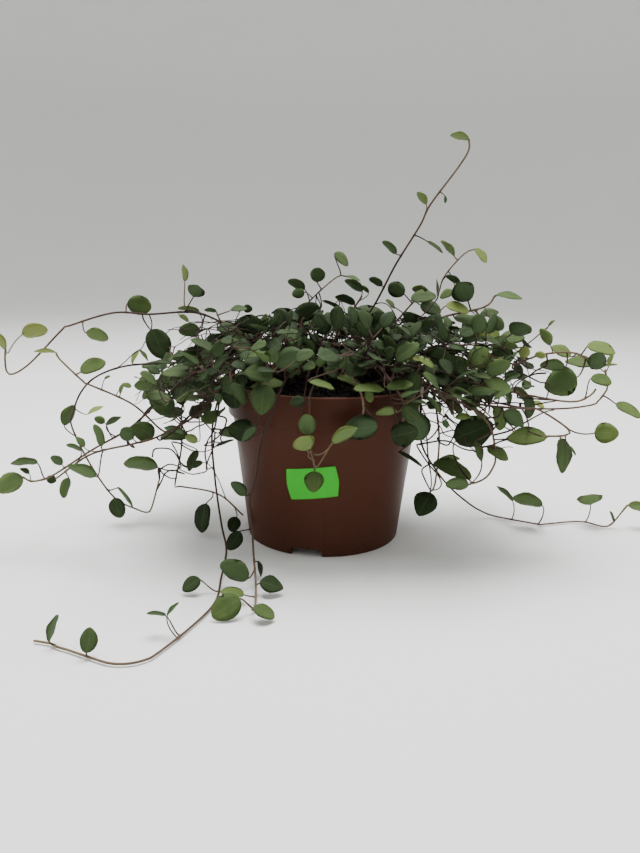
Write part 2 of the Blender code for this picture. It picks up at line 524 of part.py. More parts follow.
def blade_surface(leaf, share, across):
    """Points of a blade's middle sheet, at a share of its length and across from -1 to 1: its
    edges rise by a parabola and its tip falls by a parabola."""
    share, across = np.broadcast_arrays(np.asarray(share, float), np.asarray(across, float))
    side = across * blade_half_width(share) * leaf["width"]
    rise = leaf["cup"] * leaf["width"] * (side / leaf["width"]) ** 2 * 4
    fall = leaf["droop"] * leaf["length"] * share ** 2
    return (leaf["base"] + share[..., None] * leaf["length"] * leaf["way"]
            + side[..., None] * leaf["side"] + (rise - fall)[..., None] * leaf["face"])


def make_leaf(base, way, face, length, width, tone, cup=0.09, droop=0.05):
    """A leaf as a record: its blade's frame, its sizes, and points that stand for its surface."""
    way = unit(way)
    side = unit(np.cross(face, way))
    face = np.cross(way, side)
    leaf = dict(base=base, way=way, side=side, face=face, length=length, width=width, tone=tone,
                cup=cup, droop=droop)
    share, across = np.meshgrid([0.04, 0.2, 0.4, 0.6, 0.8, 0.97], [-1.0, -0.5, 0.0, 0.5, 1.0])
    leaf["cloud"] = blade_surface(leaf, share.ravel(), across.ravel())
    leaf["centre"] = leaf["cloud"].mean(axis=0)
    return leaf


def seen_leaf(place, near, flip):
    """A leaf from what shows of it. What shows narrower than a leaf is was rolled about its length,
    and what shows shorter leans to or from the eye."""
    base_across, base_up, tip_across, tip_up, width_seen, tone = place
    base = seen(base_across, base_up, near)
    scale = (near + EYE[1]) / EYE[1]
    along = seen(tip_across, tip_up, near) - base
    length_seen = np.linalg.norm(along)
    width_seen = width_seen * scale
    sight = unit(base - EYE)
    flat = unit(along - (along @ sight) * sight)
    if width_seen > LEAF_PROPORTION * length_seen:
        width = width_seen
        length = min(width_seen / LEAF_PROPORTION, 1.9 * length_seen)
        lean = math.acos(min(length_seen / length, 1.0))
        roll = 0.0
    else:
        length = length_seen
        width = min(LEAF_PROPORTION * length_seen, max(2.6 * width_seen, 0.42 * length_seen))
        lean = 0.0
        roll = math.acos(min(width_seen / width, 1.0))
    way = flat * math.cos(lean) + flip * sight * math.sin(lean)
    across = unit(np.cross(sight, flat))
    side = across * math.cos(roll) + flip * sight * math.sin(roll)
    face = unit(np.cross(way, side))
    if face[2] < 0:
        face = -face
    return make_leaf(base, way, face, length, width, tone)


def off_blade(leaf, points, gap, margin=0.9):
    """True where every point is gap or more from the blade's middle sheet."""
    local = points - leaf["base"]
    along = local @ leaf["way"]
    side = local @ leaf["side"]
    height = local @ leaf["face"]
    share = np.clip(along / leaf["length"], 0.0, 1.0)
    inside = (along > -margin) & (along < leaf["length"] + margin)
    inside &= np.abs(side) < blade_half_width(np.clip(share, 0.06, 0.94)) * leaf["width"] + margin
    sheet = (leaf["cup"] * leaf["width"] * (side / leaf["width"]) ** 2 * 4
             - leaf["droop"] * leaf["length"] * share ** 2)
    return not np.any(inside & (np.abs(height - sheet) < gap))


def along_segments(points, step):
    """Points spaced by about step along a chain of points."""
    chain = []
    for start, end in zip(points, points[1:]):
        count = max(1, int(np.linalg.norm(end - start) / step))
        chain.extend(start + (end - start) * k / count for k in range(count))
    chain.append(points[-1])
    return np.array(chain)


class Thicket:
    """What has been placed so far, and whether a new leaf clears it. Stems and stalks count as
    wood, which is kept as points with a radius and the number of the stem that they belong to."""

    def __init__(self, lines):
        self.lines = lines
        self.number = {name: index for index, name in enumerate(lines)}
        chains = [along_segments(line, 1.5) for line in lines.values()]
        self.wood = np.vstack(chains)
        self.radius = np.full(len(self.wood), STEM_THICK)
        self.owner = np.repeat(np.arange(len(chains)), [len(chain) for chain in chains])
        self.leaves = []
        self.centres = np.zeros((0, 3))

    def attach(self, name, leaf):
        """Where a leaf's stalk starts on its stem: a near place past the foot, rather behind the
        blade than in front of it. It is kept off the line's points by a share that differs from
        leaf to leaf, so that no two start at one."""
        line = self.lines[name][1:]
        start, end = line[:-1], line[1:]
        run = end - start
        off = 0.07 + 0.28 * (abs(leaf["base"].sum()) * 7.31 % 1.0)
        share = np.clip(((leaf["base"] - start) * run).sum(1) / (run * run).sum(1), off, 1.0 - off)
        feet = start + run * share[:, None]
        ahead = np.maximum((feet - leaf["base"]) @ leaf["way"], 0.0)
        best = np.argmin(np.linalg.norm(feet - leaf["base"], axis=1) + AHEAD_COST * ahead)
        return feet[best]

    def stalk(self, name, leaf):
        """The stalk: from its root to the blade's base, straight if it is short and points the
        blade's way, and else with a bend that turns it to the blade's way. One that comes from in
        front of the blade passes below or above it."""
        root = self.attach(name, leaf)
        run = leaf["base"] - root
        length = np.linalg.norm(run)
        if length < SHORTEST_STALK:
            return np.array([leaf["base"] - leaf["way"] * SHORTEST_STALK, leaf["base"]])
        if length < STALK_BEND and run @ leaf["way"] > 0.4 * length:
            return np.array([root, leaf["base"]])
        bend = leaf["base"] - leaf["way"] * min(max(0.4 * length, SHORTEST_STALK), 3.5)
        if run @ leaf["way"] < 0:
            bend = bend - leaf["face"] * math.copysign(SHORTEST_STALK, run @ leaf["face"])
        return np.array([root, bend, leaf["base"]])

    def clears(self, name, leaf, stalk):
        """True if the leaf and its stalk keep clear of the pot, the surface and all that stands."""
        path = along_segments(stalk, 1.2)
        if leaf["cloud"][:, 2].min() < LEAF_LOWEST:
            return False
        behind = path[np.linalg.norm(path - leaf["base"], axis=1) > 1.3]
        if not off_blade(leaf, behind, BLADE_GAP):
            return False
        for point in np.vstack([leaf["cloud"], path]):
            if np.linalg.norm(clear_of_pot(point, 0.9) - point) > 0.01:
                return False
        reach = leaf["length"] + 2.0 + np.linalg.norm(stalk[0] - leaf["base"])
        near = np.linalg.norm(self.wood - leaf["centre"], axis=1) < reach
        wood, radius = self.wood[near], self.radius[near]
        own = self.owner[near] == self.number[name]
        away = ~own | (np.linalg.norm(wood - stalk[0], axis=1) > 2.5)
        gap = BLADE_GAP + radius - np.where(own, 0.2, 0.0)
        if not off_blade(leaf, wood[away], gap[away]):
            return False
        if not own.all():
            spaces = np.linalg.norm(wood[~own][:, None] - path[None], axis=2)
            if (spaces - radius[~own][:, None]).min() < STALK_RADIUS + 0.7:
                return False
        close = np.where(np.linalg.norm(self.centres - leaf["centre"], axis=1) < reach + 10.0)[0]
        for index in close:
            owner, other = self.leaves[index][:2]
            gap = BLADE_GAP * (1.3 if owner == name else 2.0)
            if not off_blade(other, leaf["cloud"], gap) or not off_blade(leaf, other["cloud"], gap):
                return False
            if not off_blade(other, path, BLADE_GAP + STALK_RADIUS):
                return False
        return True

    def keep(self, name, leaf, stalk):
        """Adds the leaf and its stalk to what stands."""
        path = along_segments(stalk, 1.2)
        self.leaves.append((name, leaf, stalk))
        self.centres = np.vstack([self.centres, leaf["centre"]])
        self.wood = np.vstack([self.wood, path[1:]])
        self.radius = np.append(self.radius, np.full(len(path) - 1, STALK_RADIUS))
        self.owner = np.append(self.owner, np.full(len(path) - 1, self.number[name]))


def add_seen_leaves(thicket, missed):
    """The leaves that were read from the front. Where one does not clear, it is tried nearer and
    farther on its sight line, and leaning the other way."""
    for name, vine in VINES.items():
        route = np.array([seen(*place) for place in vine["route"]])
        flat = np.array([place[:2] for place in vine["route"]], float)
        for place in vine["leaves"]:
            nearest = np.argmin(np.linalg.norm(flat - np.array(place[:2]), axis=1))
            depth = -route[nearest][1]
            for shift in DEPTH_TRIES:
                leaf = seen_leaf(place, depth + shift, 1.0 if shift % 2 else -1.0)
                stalk = thicket.stalk(name, leaf)
                if thicket.clears(name, leaf, stalk):
                    thicket.keep(name, leaf, stalk)
                    break
            else:
                missed.append((name, place))


def add_drawn_leaves(thicket, name, line, draw):
    """Leaves set by turns on the two sides of a stem, facing up and outwards, smaller at its tip.
    Each is drawn anew until it clears, and left out if none of the draws does."""
    samples = along_segments(line[1:], 1.0)
    first = FIRST_LEAF if name.startswith("mound") else 6.0
    last = len(samples) - 1 if name.startswith("mound") else CROWN_RUN
    station = first
    turn = draw.uniform(0, 2 * math.pi)
    while station < min(last, len(samples) - 2):
        here = samples[int(station)]
        along = unit(samples[int(station) + 1] - samples[int(station) - 1])
        share = station / len(samples)
        turn += math.pi + draw.uniform(-0.7, 0.7)
        for trial in range(LEAF_TRIES):
            size = draw.uniform(*LEAF_SIZES) * (1.0 - 0.35 * share ** 2) * (1.0 - 0.035 * trial)
            angle = turn + draw.uniform(-0.4, 0.4) * (1 + 0.25 * trial)
            across = unit(np.cross(along, [0.1, 0.2, 1.0]))
            above = np.cross(across, along)
            out = across * math.cos(angle) + above * math.sin(angle)
            outward = unit(np.array([here[0], here[1], 20.0]))
            way = unit(out + 0.35 * along + 0.25 * outward + draw.uniform(-0.35, 0.35, 3))
            base = here + unit(out + 0.4 * outward) * draw.uniform(4.0, 10.0)
            face = unit(0.75 * np.array([0, 0, 1.0]) + 0.45 * outward + draw.uniform(-0.4, 0.4, 3))
            if abs(face @ way) > 0.93:
                continue
            tone = float(np.clip(0.12 + 0.5 * share ** 3 + draw.uniform(-0.12, 0.3), 0, 1))
            leaf = make_leaf(base, way, face - (face @ way) * way, size,
                             size * draw.uniform(0.78, 0.95), tone)
            if not in_outline(leaf["centre"]):
                continue
            stalk = thicket.stalk(name, leaf)
            if thicket.clears(name, leaf, stalk):
                thicket.keep(name, leaf, stalk)
                break
        station += draw.uniform(*LEAF_SPACING)


def in_outline(centre):
    """True if a drawn leaf at centre shows inside the mound as the eye sees it."""
    plane = EYE + (centre - EYE) * (EYE[1] / (EYE[1] - centre[1]))
    across, up = plane[0], plane[2]
    top = 118.0 if across > -30 else 118.0 + (across + 30) * 0.45
    low = 88.0 if abs(across) < 44 else 50.0
    return -98 < across < 108 and low < up < top


def planned_plant():
    """The stems' centre lines and all leaves, each as (stem's name, leaf, stalk)."""
    draw = np.random.default_rng(SEED)
    lines = bend_clear(planned_routes(draw))
    thicket = Thicket(lines)
    missed = []
    add_seen_leaves(thicket, missed)
    for name, line in lines.items():
        add_drawn_leaves(thicket, name, line, draw)
    return lines, thicket.leaves, missed


def clear_scene():
    """Removes every object that the file opens with."""
    for item in list(bpy.data.objects):
        bpy.data.objects.remove(item)


def make_material(name, colour, roughness):
    """A plain material with one colour."""
    material = bpy.data.materials.new(name)
    material.use_nodes = True
    shader = material.node_tree.nodes["Principled BSDF"]
    shader.inputs["Base Color"].default_value = (*colour, 1.0)
    shader.inputs["Roughness"].default_value = roughness
    shader.inputs["Metallic"].default_value = 0.0
    return material


def add_piece(name, mesh, material=None, collection=None):
    """An object for the mesh, in the scene or in a collection of its own, where the pot stands."""
    piece = bpy.data.objects.new(name, mesh)
    piece.location = (POT_ACROSS * MM, POT_BACK * MM, 0.0)
    if material:
        mesh.materials.append(material)
    (collection or bpy.context.scene.collection).objects.link(piece)
    return piece


def finish_mesh(name, form):
    """The bmesh as a mesh, its faces pointing out."""
    bmesh.ops.recalc_face_normals(form, faces=form.faces)
    mesh = bpy.data.meshes.new(name)
    form.to_mesh(mesh)
    form.free()
    return mesh


def mesh_of(name, points, faces):
    """A closed mesh from points in millimetres."""
    form = bmesh.new()
    corners = [form.verts.new(np.asarray(point) * MM) for point in points]
    for face in faces:
        form.faces.new([corners[index] for index in face])
    return finish_mesh(name, form)


def turned_mesh(name, profile, sides):
    """The profile of (radius, height) turned about Z. Its two ends lie on the axis."""
    form = bmesh.new()
    corners = [form.verts.new((radius * MM, 0.0, height * MM)) for radius, height in profile]
    edges = [form.edges.new(pair) for pair in zip(corners, corners[1:])]
    bmesh.ops.spin(form, geom=corners + edges, cent=(0, 0, 0), axis=(0, 0, 1),
                   angle=2 * math.pi, steps=sides)
    bmesh.ops.remove_doubles(form, verts=form.verts, dist=0.00001)
    return finish_mesh(name, form)


def smooth_shading(mesh, angle):
    """Smooth faces, with an edge wherever two faces meet at more than angle degrees."""
    mesh.shade_smooth()
    mesh.set_sharp_from_angle(angle=math.radians(angle))


def cut_with(piece, cutters):
    """A Boolean that takes the collection's cutters out of the piece."""
    for cutter in cutters.objects:
        cutter.hide_render = True
        cutter.display_type = "WIRE"
    cut = piece.modifiers.new("cut", "BOOLEAN")
    cut.operation = "DIFFERENCE"
    cut.operand_type = "COLLECTION"
    cut.collection = cutters


def new_collection(name):
    """An empty collection in the scene."""
    collection = bpy.data.collections.new(name)
    bpy.context.scene.collection.children.link(collection)
    return collection


def cylinder_cutter(name, place, radius, sides, low, high, cutters):
    """An upright prism that stands at place from low to high."""
    form = bmesh.new()
    bmesh.ops.create_cone(form, cap_ends=True, segments=sides, radius1=radius * MM,
                          radius2=radius * MM, depth=(high - low) * MM)
    bmesh.ops.translate(form, verts=form.verts,
                        vec=(place[0] * MM, place[1] * MM, (low + high) / 2 * MM))
    add_piece(name, finish_mesh(name, form), collection=cutters)


def notch_cutter(number, cutters):
    """A box through the foot ring, across the radius at its turn around the pot."""
    turn = math.radians(NOTCH_FIRST + 360 / NOTCH_COUNT * number)
    out = np.array([math.cos(turn), math.sin(turn), 0.0])
    across = np.array([-out[1], out[0], 0.0]) * NOTCH_WIDE / 2
    inner, outer = out * (FOOT_OUTER - 3 * FOOT_RING), out * (FOOT_OUTER + 3 * FOOT_RING)
    low, high = np.array([0, 0, -1.0]), np.array([0, 0, NOTCH_TALL])
    points = [radial + side + height for height in (low, high)
              for radial, side in ((inner, -across), (outer, -across), (outer, across), (inner, across))]
    faces = [(0, 1, 2, 3), (4, 5, 6, 7), (0, 1, 5, 4), (1, 2, 6, 5), (2, 3, 7, 6), (3, 0, 4, 7)]
    add_piece(f"notch_cut_{number + 1}", mesh_of("notch_cut", points, faces), collection=cutters)


def build_pot():
    """The pot: a foot ring with notches, a raised base with drain holes, a wall that widens
    upwards, and a collar that steps out below the rim."""
    profile = [
        (0.0, PLATE_LOW),
        (wall_radius(PLATE_LOW) - FOOT_RING, PLATE_LOW),
        (FOOT_OUTER - FOOT_RING, 0.0),
        (FOOT_OUTER, 0.0),
        (BODY_OUTER, COLLAR_LOW),
        (COLLAR_OUTER, COLLAR_LOW),
        (RIM_OUTER, POT_TALL - RIM_ROUND),
        (RIM_OUTER - RIM_ROUND * 0.6, POT_TALL),
        (RIM_OUTER - COLLAR_WALL, POT_TALL),
        (COLLAR_OUTER - COLLAR_WALL, COLLAR_LOW + COLLAR_WALL),
        (BODY_OUTER - WALL, COLLAR_LOW - WALL),
        (wall_radius(PLATE_TOP) - WALL, PLATE_TOP),
        (0.0, PLATE_TOP),
    ]
    mesh = turned_mesh("pot", profile, POT_SIDES)
    smooth_shading(mesh, 30)
    pot = add_piece("pot", mesh, make_material("pot plastic", (0.052, 0.017, 0.012), 0.42))
    cutters = new_collection("pot cutters")
    for number in range(NOTCH_COUNT):
        notch_cutter(number, cutters)
    for number in range(DRAIN_COUNT):
        turn = 2 * math.pi * number / DRAIN_COUNT
        place = (DRAIN_RING * math.cos(turn), DRAIN_RING * math.sin(turn))
        cylinder_cutter(f"drain_cut_{number + 1}", place, DRAIN_RADIUS, DRAIN_SIDES,
                        PLATE_LOW - 2, PLATE_TOP + 2, cutters)
    cut_with(pot, cutters)


def build_soil(lines):
    """The soil fills the pot to just below its rim, and every stem stands in a plain hole in it."""
    profile = [
        (0.0, PLATE_TOP + SEAT),
        (wall_radius(PLATE_TOP) - WALL - SEAT * 1.5, PLATE_TOP + SEAT),
        (BODY_OUTER - WALL - SEAT * 1.2, COLLAR_LOW - WALL + SEAT),
        (COLLAR_OUTER - COLLAR_WALL - SEAT * 1.2, COLLAR_LOW + COLLAR_WALL + SEAT),
        (RIM_OUTER - COLLAR_WALL - SEAT * 2.2, SOIL_EDGE),
        (RIM_OUTER * 0.5, SOIL_TOP - 0.4),
        (0.0, SOIL_TOP),
    ]
    mesh = turned_mesh("soil", profile, POT_SIDES)
    smooth_shading(mesh, 40)
    soil = add_piece("soil", mesh, make_material("soil", (0.011, 0.009, 0.008), 0.95))
    cutters = new_collection("soil cutters")
    for name, line in lines.items():
        cylinder_cutter(f"hole_cut_{name}", line[0][:2], HOLE_RADIUS, HOLE_SIDES,
                        STEM_FOOT - SEAT, SOIL_TOP + 4, cutters)
    cut_with(soil, cutters)


def build_label():
    """The label: a thin sheet wrapped on the pot's front, its two ends bulging outwards."""
    half = LABEL_WIDE / 2 - LABEL_END
    columns = [-half - LABEL_END, *np.linspace(-half, half, LABEL_COLUMNS + 1), half + LABEL_END]
    tilt = math.radians(LABEL_TILT)
    points = []
    for across in columns:
        reach = LABEL_TALL / 2 if abs(across) <= half + 0.01 else LABEL_TALL / 8
        for up, lift in ((-reach, SEAT), (reach, SEAT), (reach, SEAT + LABEL_THICK),
                         (-reach, SEAT + LABEL_THICK)):
            aside = across * math.cos(tilt) - up * math.sin(tilt)
            height = LABEL_HEIGHT + across * math.sin(tilt) + up * math.cos(tilt)
            radius = wall_radius(height) + lift
            turn = math.radians(LABEL_TURN) + aside / wall_radius(LABEL_HEIGHT)
            points.append((radius * math.cos(turn), radius * math.sin(turn), height))
    faces = [(0, 1, 2, 3), tuple(len(points) - 4 + k for k in range(4))]
    for column in range(len(columns) - 1):
        for k in range(4):
            low, high = column * 4, column * 4 + 4
            faces.append((low + k, low + (k + 1) % 4, high + (k + 1) % 4, high + k))
    mesh = mesh_of("label", points, faces)
    smooth_shading(mesh, 30)
    add_piece("price_label", mesh, make_material("label", (0.09, 0.47, 0.04), 0.6))


def stem_mesh(name, line):
    """A stem: a slim tube with flat sides, thinning along its line, with closed ends."""
    points = []
    across = np.array([1.0, 0.0, 0.0])
    for index, place in enumerate(line):
        along = unit(line[min(index + 1, len(line) - 1)] - line[max(index - 1, 0)])
        across = unit(across - (across @ along) * along)
        above = np.cross(along, across)
        radius = stem_radius(name, index / (len(line) - 1))
        for corner in range(STEM_SIDES):
            turn = 2 * math.pi * corner / STEM_SIDES
            points.append(place + radius * (math.cos(turn) * across + math.sin(turn) * above))
    faces = [tuple(range(STEM_SIDES)), tuple(range(len(points) - STEM_SIDES, len(points)))]
    for ring in range(len(line) - 1):
        for corner in range(STEM_SIDES):
            after = (corner + 1) % STEM_SIDES
            low, high = ring * STEM_SIDES, (ring + 1) * STEM_SIDES
            faces.append((low + corner, low + after, high + after, high + corner))
    return mesh_of(name, points, faces)


def stalk_frames(leaf, stalk):
    """The directions across and above at each of a stalk's points. They are carried back from the
    blade's base, so that the stalk does not twist."""
    runs = [unit(end - start) for start, end in zip(stalk, stalk[1:])] + [leaf["way"]]
    across = leaf["side"]
    frames = []
    for index in reversed(range(len(stalk))):
        along = unit(runs[index] + runs[max(index - 1, 0)])
        across = unit(across - (across @ along) * along)
        frames.insert(0, (across, np.cross(along, across)))
    return frames


def leaf_mesh(leaf, stalk):
    """A leaf as one closed solid: a three-sided stalk that opens into a blade. The blade's two
    faces rise from the same edge points to one point above and one below its middle."""
    points = []
    for place, (across, above) in zip(stalk, stalk_frames(leaf, stalk)):
        points.append(place + STALK_RADIUS * above)
        points.append(place + STALK_RADIUS * (0.87 * across - 0.5 * above))
        points.append(place - STALK_RADIUS * (0.87 * across + 0.5 * above))
    faces = [(0, 1, 2)]
    for ring in range(len(stalk) - 1):
        for corner in range(3):
            low, high, after = ring * 3, ring * 3 + 3, (corner + 1) % 3
            faces.append((low + corner, low + after, high + after, high + corner))
    top, right, left = (len(points) - 3 + k for k in range(3))
    shares = [0.18, 0.62] if leaf["length"] < SMALL_LEAF else [0.1, 0.4, 0.76]
    edge = len(points) + np.arange(2 * len(shares) + 1)
    points.extend(blade_surface(leaf, shares, 1.0))
    points.append(blade_surface(leaf, 1.0, 0.0))
    points.extend(blade_surface(leaf, shares[::-1], -1.0))
    middle = blade_surface(leaf, 0.45, 0.0)
    over, under = len(points), len(points) + 1
    points.append(middle + leaf["face"] * BLADE_THICK / 2)
    points.append(middle - leaf["face"] * BLADE_THICK / 2)
    chain = [top, right, *edge, left, top]
    faces.extend((over, start, end) for start, end in zip(chain, chain[1:]))
    chain = [right, *edge, left, right]
    faces.extend((under, start, end) for start, end in zip(chain, chain[1:]))
    return mesh_of("leaf", points, faces)


def leafy_colour(tones):
    """From the dark green of old leaves to the yellow green of young ones, by the mean tone."""
    old, young = np.array([0.028, 0.062, 0.020]), np.array([0.17, 0.25, 0.045])
    return tuple(old + (young - old) * float(np.mean(tones)))


def linked_parts(form):
    """The points of each of a mesh's separate parts, the largest part last."""
    unseen = set(form.verts)
    parts = []
    while unseen:
        reached = [unseen.pop()]
        for vert in reached:
            for edge in vert.link_edges:
                other = edge.other_vert(vert)
                if other in unseen:
                    unseen.remove(other)
                    reached.append(other)
        parts.append(reached)
    return sorted(parts, key=len)


def tidy_joined(mesh):
    """The joined mesh without loose scraps, and without slivers where it stays closed."""
    form = bmesh.new()
    form.from_mesh(mesh)
    bmesh.ops.triangulate(form, faces=form.faces)
    for scrap in linked_parts(form)[:-1]:
        print(f"{mesh.name}: a scrap of {len(scrap)} points dropped")
        bmesh.ops.delete(form, geom=scrap, context="VERTS")
    form.to_mesh(mesh)
    bmesh.ops.dissolve_degenerate(form, edges=form.edges, dist=SLIVER * MM)
    bmesh.ops.triangulate(form, faces=form.faces)
    closed = all(len(edge.link_faces) == 2 for edge in form.edges)
    if closed and all(vert.is_manifold for vert in form.verts) and len(linked_parts(form)) == 1:
        form.to_mesh(mesh)
    else:
        print(f"{mesh.name}: slivers kept")
    form.free()
    return mesh


def build_leafy_stem(name, line, leaves):
    """A stem with its leaves, joined into one solid."""
    colour = leafy_colour([leaf["tone"] for leaf, _ in leaves])
    stem = add_piece(f"leafy_stem_{name}", stem_mesh(name, line), make_material(name, colour, 0.5))
    repeats = new_collection(f"{name} leaves")
    for leaf, stalk in leaves:
        add_piece(f"{name} leaf", leaf_mesh(leaf, stalk), collection=repeats)
    join = stem.modifiers.new("join", "BOOLEAN")
    join.operation = "UNION"
    join.solver = "MANIFOLD"
    join.operand_type = "COLLECTION"
    join.collection = repeats
    joined = bpy.data.meshes.new_from_object(stem.evaluated_get(bpy.context.evaluated_depsgraph_get()))
    stem.modifiers.clear()
    joined.name = name
    stem.data = tidy_joined(joined)
    for item in list(repeats.objects):
        bpy.data.objects.remove(item)
    bpy.data.collections.remove(repeats)


def build_plant():
    """The pot, its soil, its label and every leafy stem."""
    lines, leaves, missed = planned_plant()
    build_pot()
    build_soil(lines)
    build_label()
    for name, line in lines.items():
        build_leafy_stem(name, line, [(leaf, stalk) for owner, leaf, stalk in leaves if owner == name])
    print(f"{len(lines)} stems, {len(leaves)} leaves, {len(missed)} left out")


clear_scene()
build_plant()
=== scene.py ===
# %% [markdown]
# # A potted wire vine
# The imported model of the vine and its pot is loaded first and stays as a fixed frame. The cells below lay
# a finer skin over every one of its solids, in the same places and in metres.

# %% Load the frame
import math

import bmesh
import bpy
import numpy as np
from mathutils import Matrix


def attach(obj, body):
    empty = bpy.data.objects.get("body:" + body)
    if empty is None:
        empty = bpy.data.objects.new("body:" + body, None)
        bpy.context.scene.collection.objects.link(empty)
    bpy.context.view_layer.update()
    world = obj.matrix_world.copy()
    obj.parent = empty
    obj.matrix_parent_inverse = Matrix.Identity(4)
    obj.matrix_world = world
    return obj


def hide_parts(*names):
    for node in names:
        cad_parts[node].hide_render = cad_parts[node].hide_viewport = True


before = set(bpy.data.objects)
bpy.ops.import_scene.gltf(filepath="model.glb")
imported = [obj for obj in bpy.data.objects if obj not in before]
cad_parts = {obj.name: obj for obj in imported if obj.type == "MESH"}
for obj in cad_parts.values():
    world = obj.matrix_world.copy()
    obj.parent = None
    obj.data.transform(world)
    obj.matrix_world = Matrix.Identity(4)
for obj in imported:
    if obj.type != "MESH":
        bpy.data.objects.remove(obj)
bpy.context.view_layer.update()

# %% [markdown]
# ## The sizes
# The pot is a common small nursery pot, 105 mm across its rim, and the rest of the plant is measured
# against it. Lengths are in millimetres here and become metres when a mesh is made. Everything is planned
# around the middle of the pot's foot, and then moved to where the frame has it.

# %% The sizes of the pot, the soil and the label
MM = 0.001
POT_ACROSS = -9.0
POT_BACK = 35.9

POT_TALL = 84.5
FOOT_OUTER = 41.0
BODY_OUTER = 49.2
COLLAR_LOW = 67.4
COLLAR_OUTER = 51.3
RIM_OUTER = 52.5
RIM_MIDDLE = 51.5
WALL = 1.2
COLLAR_WALL = 1.4
FOOT_RING = 2.4
PLATE_LOW = 4.6
PLATE_TOP = 6.0
NOTCH_COUNT = 3
NOTCH_WIDE = 16.0
NOTCH_TALL = 4.1
NOTCH_FIRST = -102.0  # degrees around the pot from +X
DRAIN_COUNT = 4
DRAIN_RADIUS = 3.5
DRAIN_RING = 22.0
SEAT = 0.3  # gap between touching pieces

SOIL_TOP = 82.0
SOIL_EDGE = 80.5
HOLE_COUNT = 48
HOLE_SPREAD = 5.4

LABEL_WIDE = 26.0
LABEL_TALL = 16.0
LABEL_HEIGHT = 40.5
LABEL_TURN = -97.2  # degrees around the pot from +X
LABEL_TILT = 7.0
LABEL_END = 1.1  # how far each end bulges past its corners
print("pot:", 2 * RIM_OUTER, "mm across and", POT_TALL, "mm tall")

# %% The sizes of the stems and the leaves
SEED = 11
GOLDEN_ANGLE = math.radians(137.508)
STEM_FOOT = 69.0
STEM_THICK = 0.9
STEM_THIN = 0.62
STEM_TURN = 20.0
STEM_REACH = 24.0
STEM_SHORT = 3.0
STEM_APART = 2.5
STEM_CLEAR = 1.2
CLEAR_ROUNDS = 60
MOUND_STEMS = 15
MOUND_REACH = 52.0
MOUND_STRETCH = 34.0
MOUND_CREST = (98.0, 118.0)
MOUND_END = (62.0, 96.0)
SLENDER = ("right_thin", "second_shoot", "front_sprig", "left_crest", "crest_left")

LEAF_PROPORTION = 0.8  # width to length
LEAF_SIZES = (11.0, 17.0)
LEAF_SPACING = (13.5, 19.5)
LEAF_TRIES = 14
LEAF_LOWEST = 0.9
BLADE_GAP = 0.78
STALK_RADIUS = 0.42
STALK_BEND = 11.0
SHORTEST_STALK = 1.5
AHEAD_COST = 1.5  # how much a stalk avoids starting in front of its blade
FIRST_LEAF = 14.0
CROWN_RUN = 70
DEPTH_TRIES = (0, 3, -3, 6, -6, 9, -8, 12, -11, 16, -15, 21, -20, 27, -26, 34)
print("leaves drawn by rule:", LEAF_SIZES, "mm long")

# %% [markdown]
# ## The vines that stand out
# The stems that leave the mound each have a course of their own, which was read off. A vine is a list
# of points that its stem runs through, and a list of its leaves.

# %% The traced vines
# Places in this section are millimetres. A place that was judged from the front is written as the eye
# sees it: across and up on the upright plane through the pot's axis, then how near, in front of that plane.
EYE = np.array([-2.4, -396.0, 151.0])
FLOOR = None  # stands for "as near as it lies on the surface"
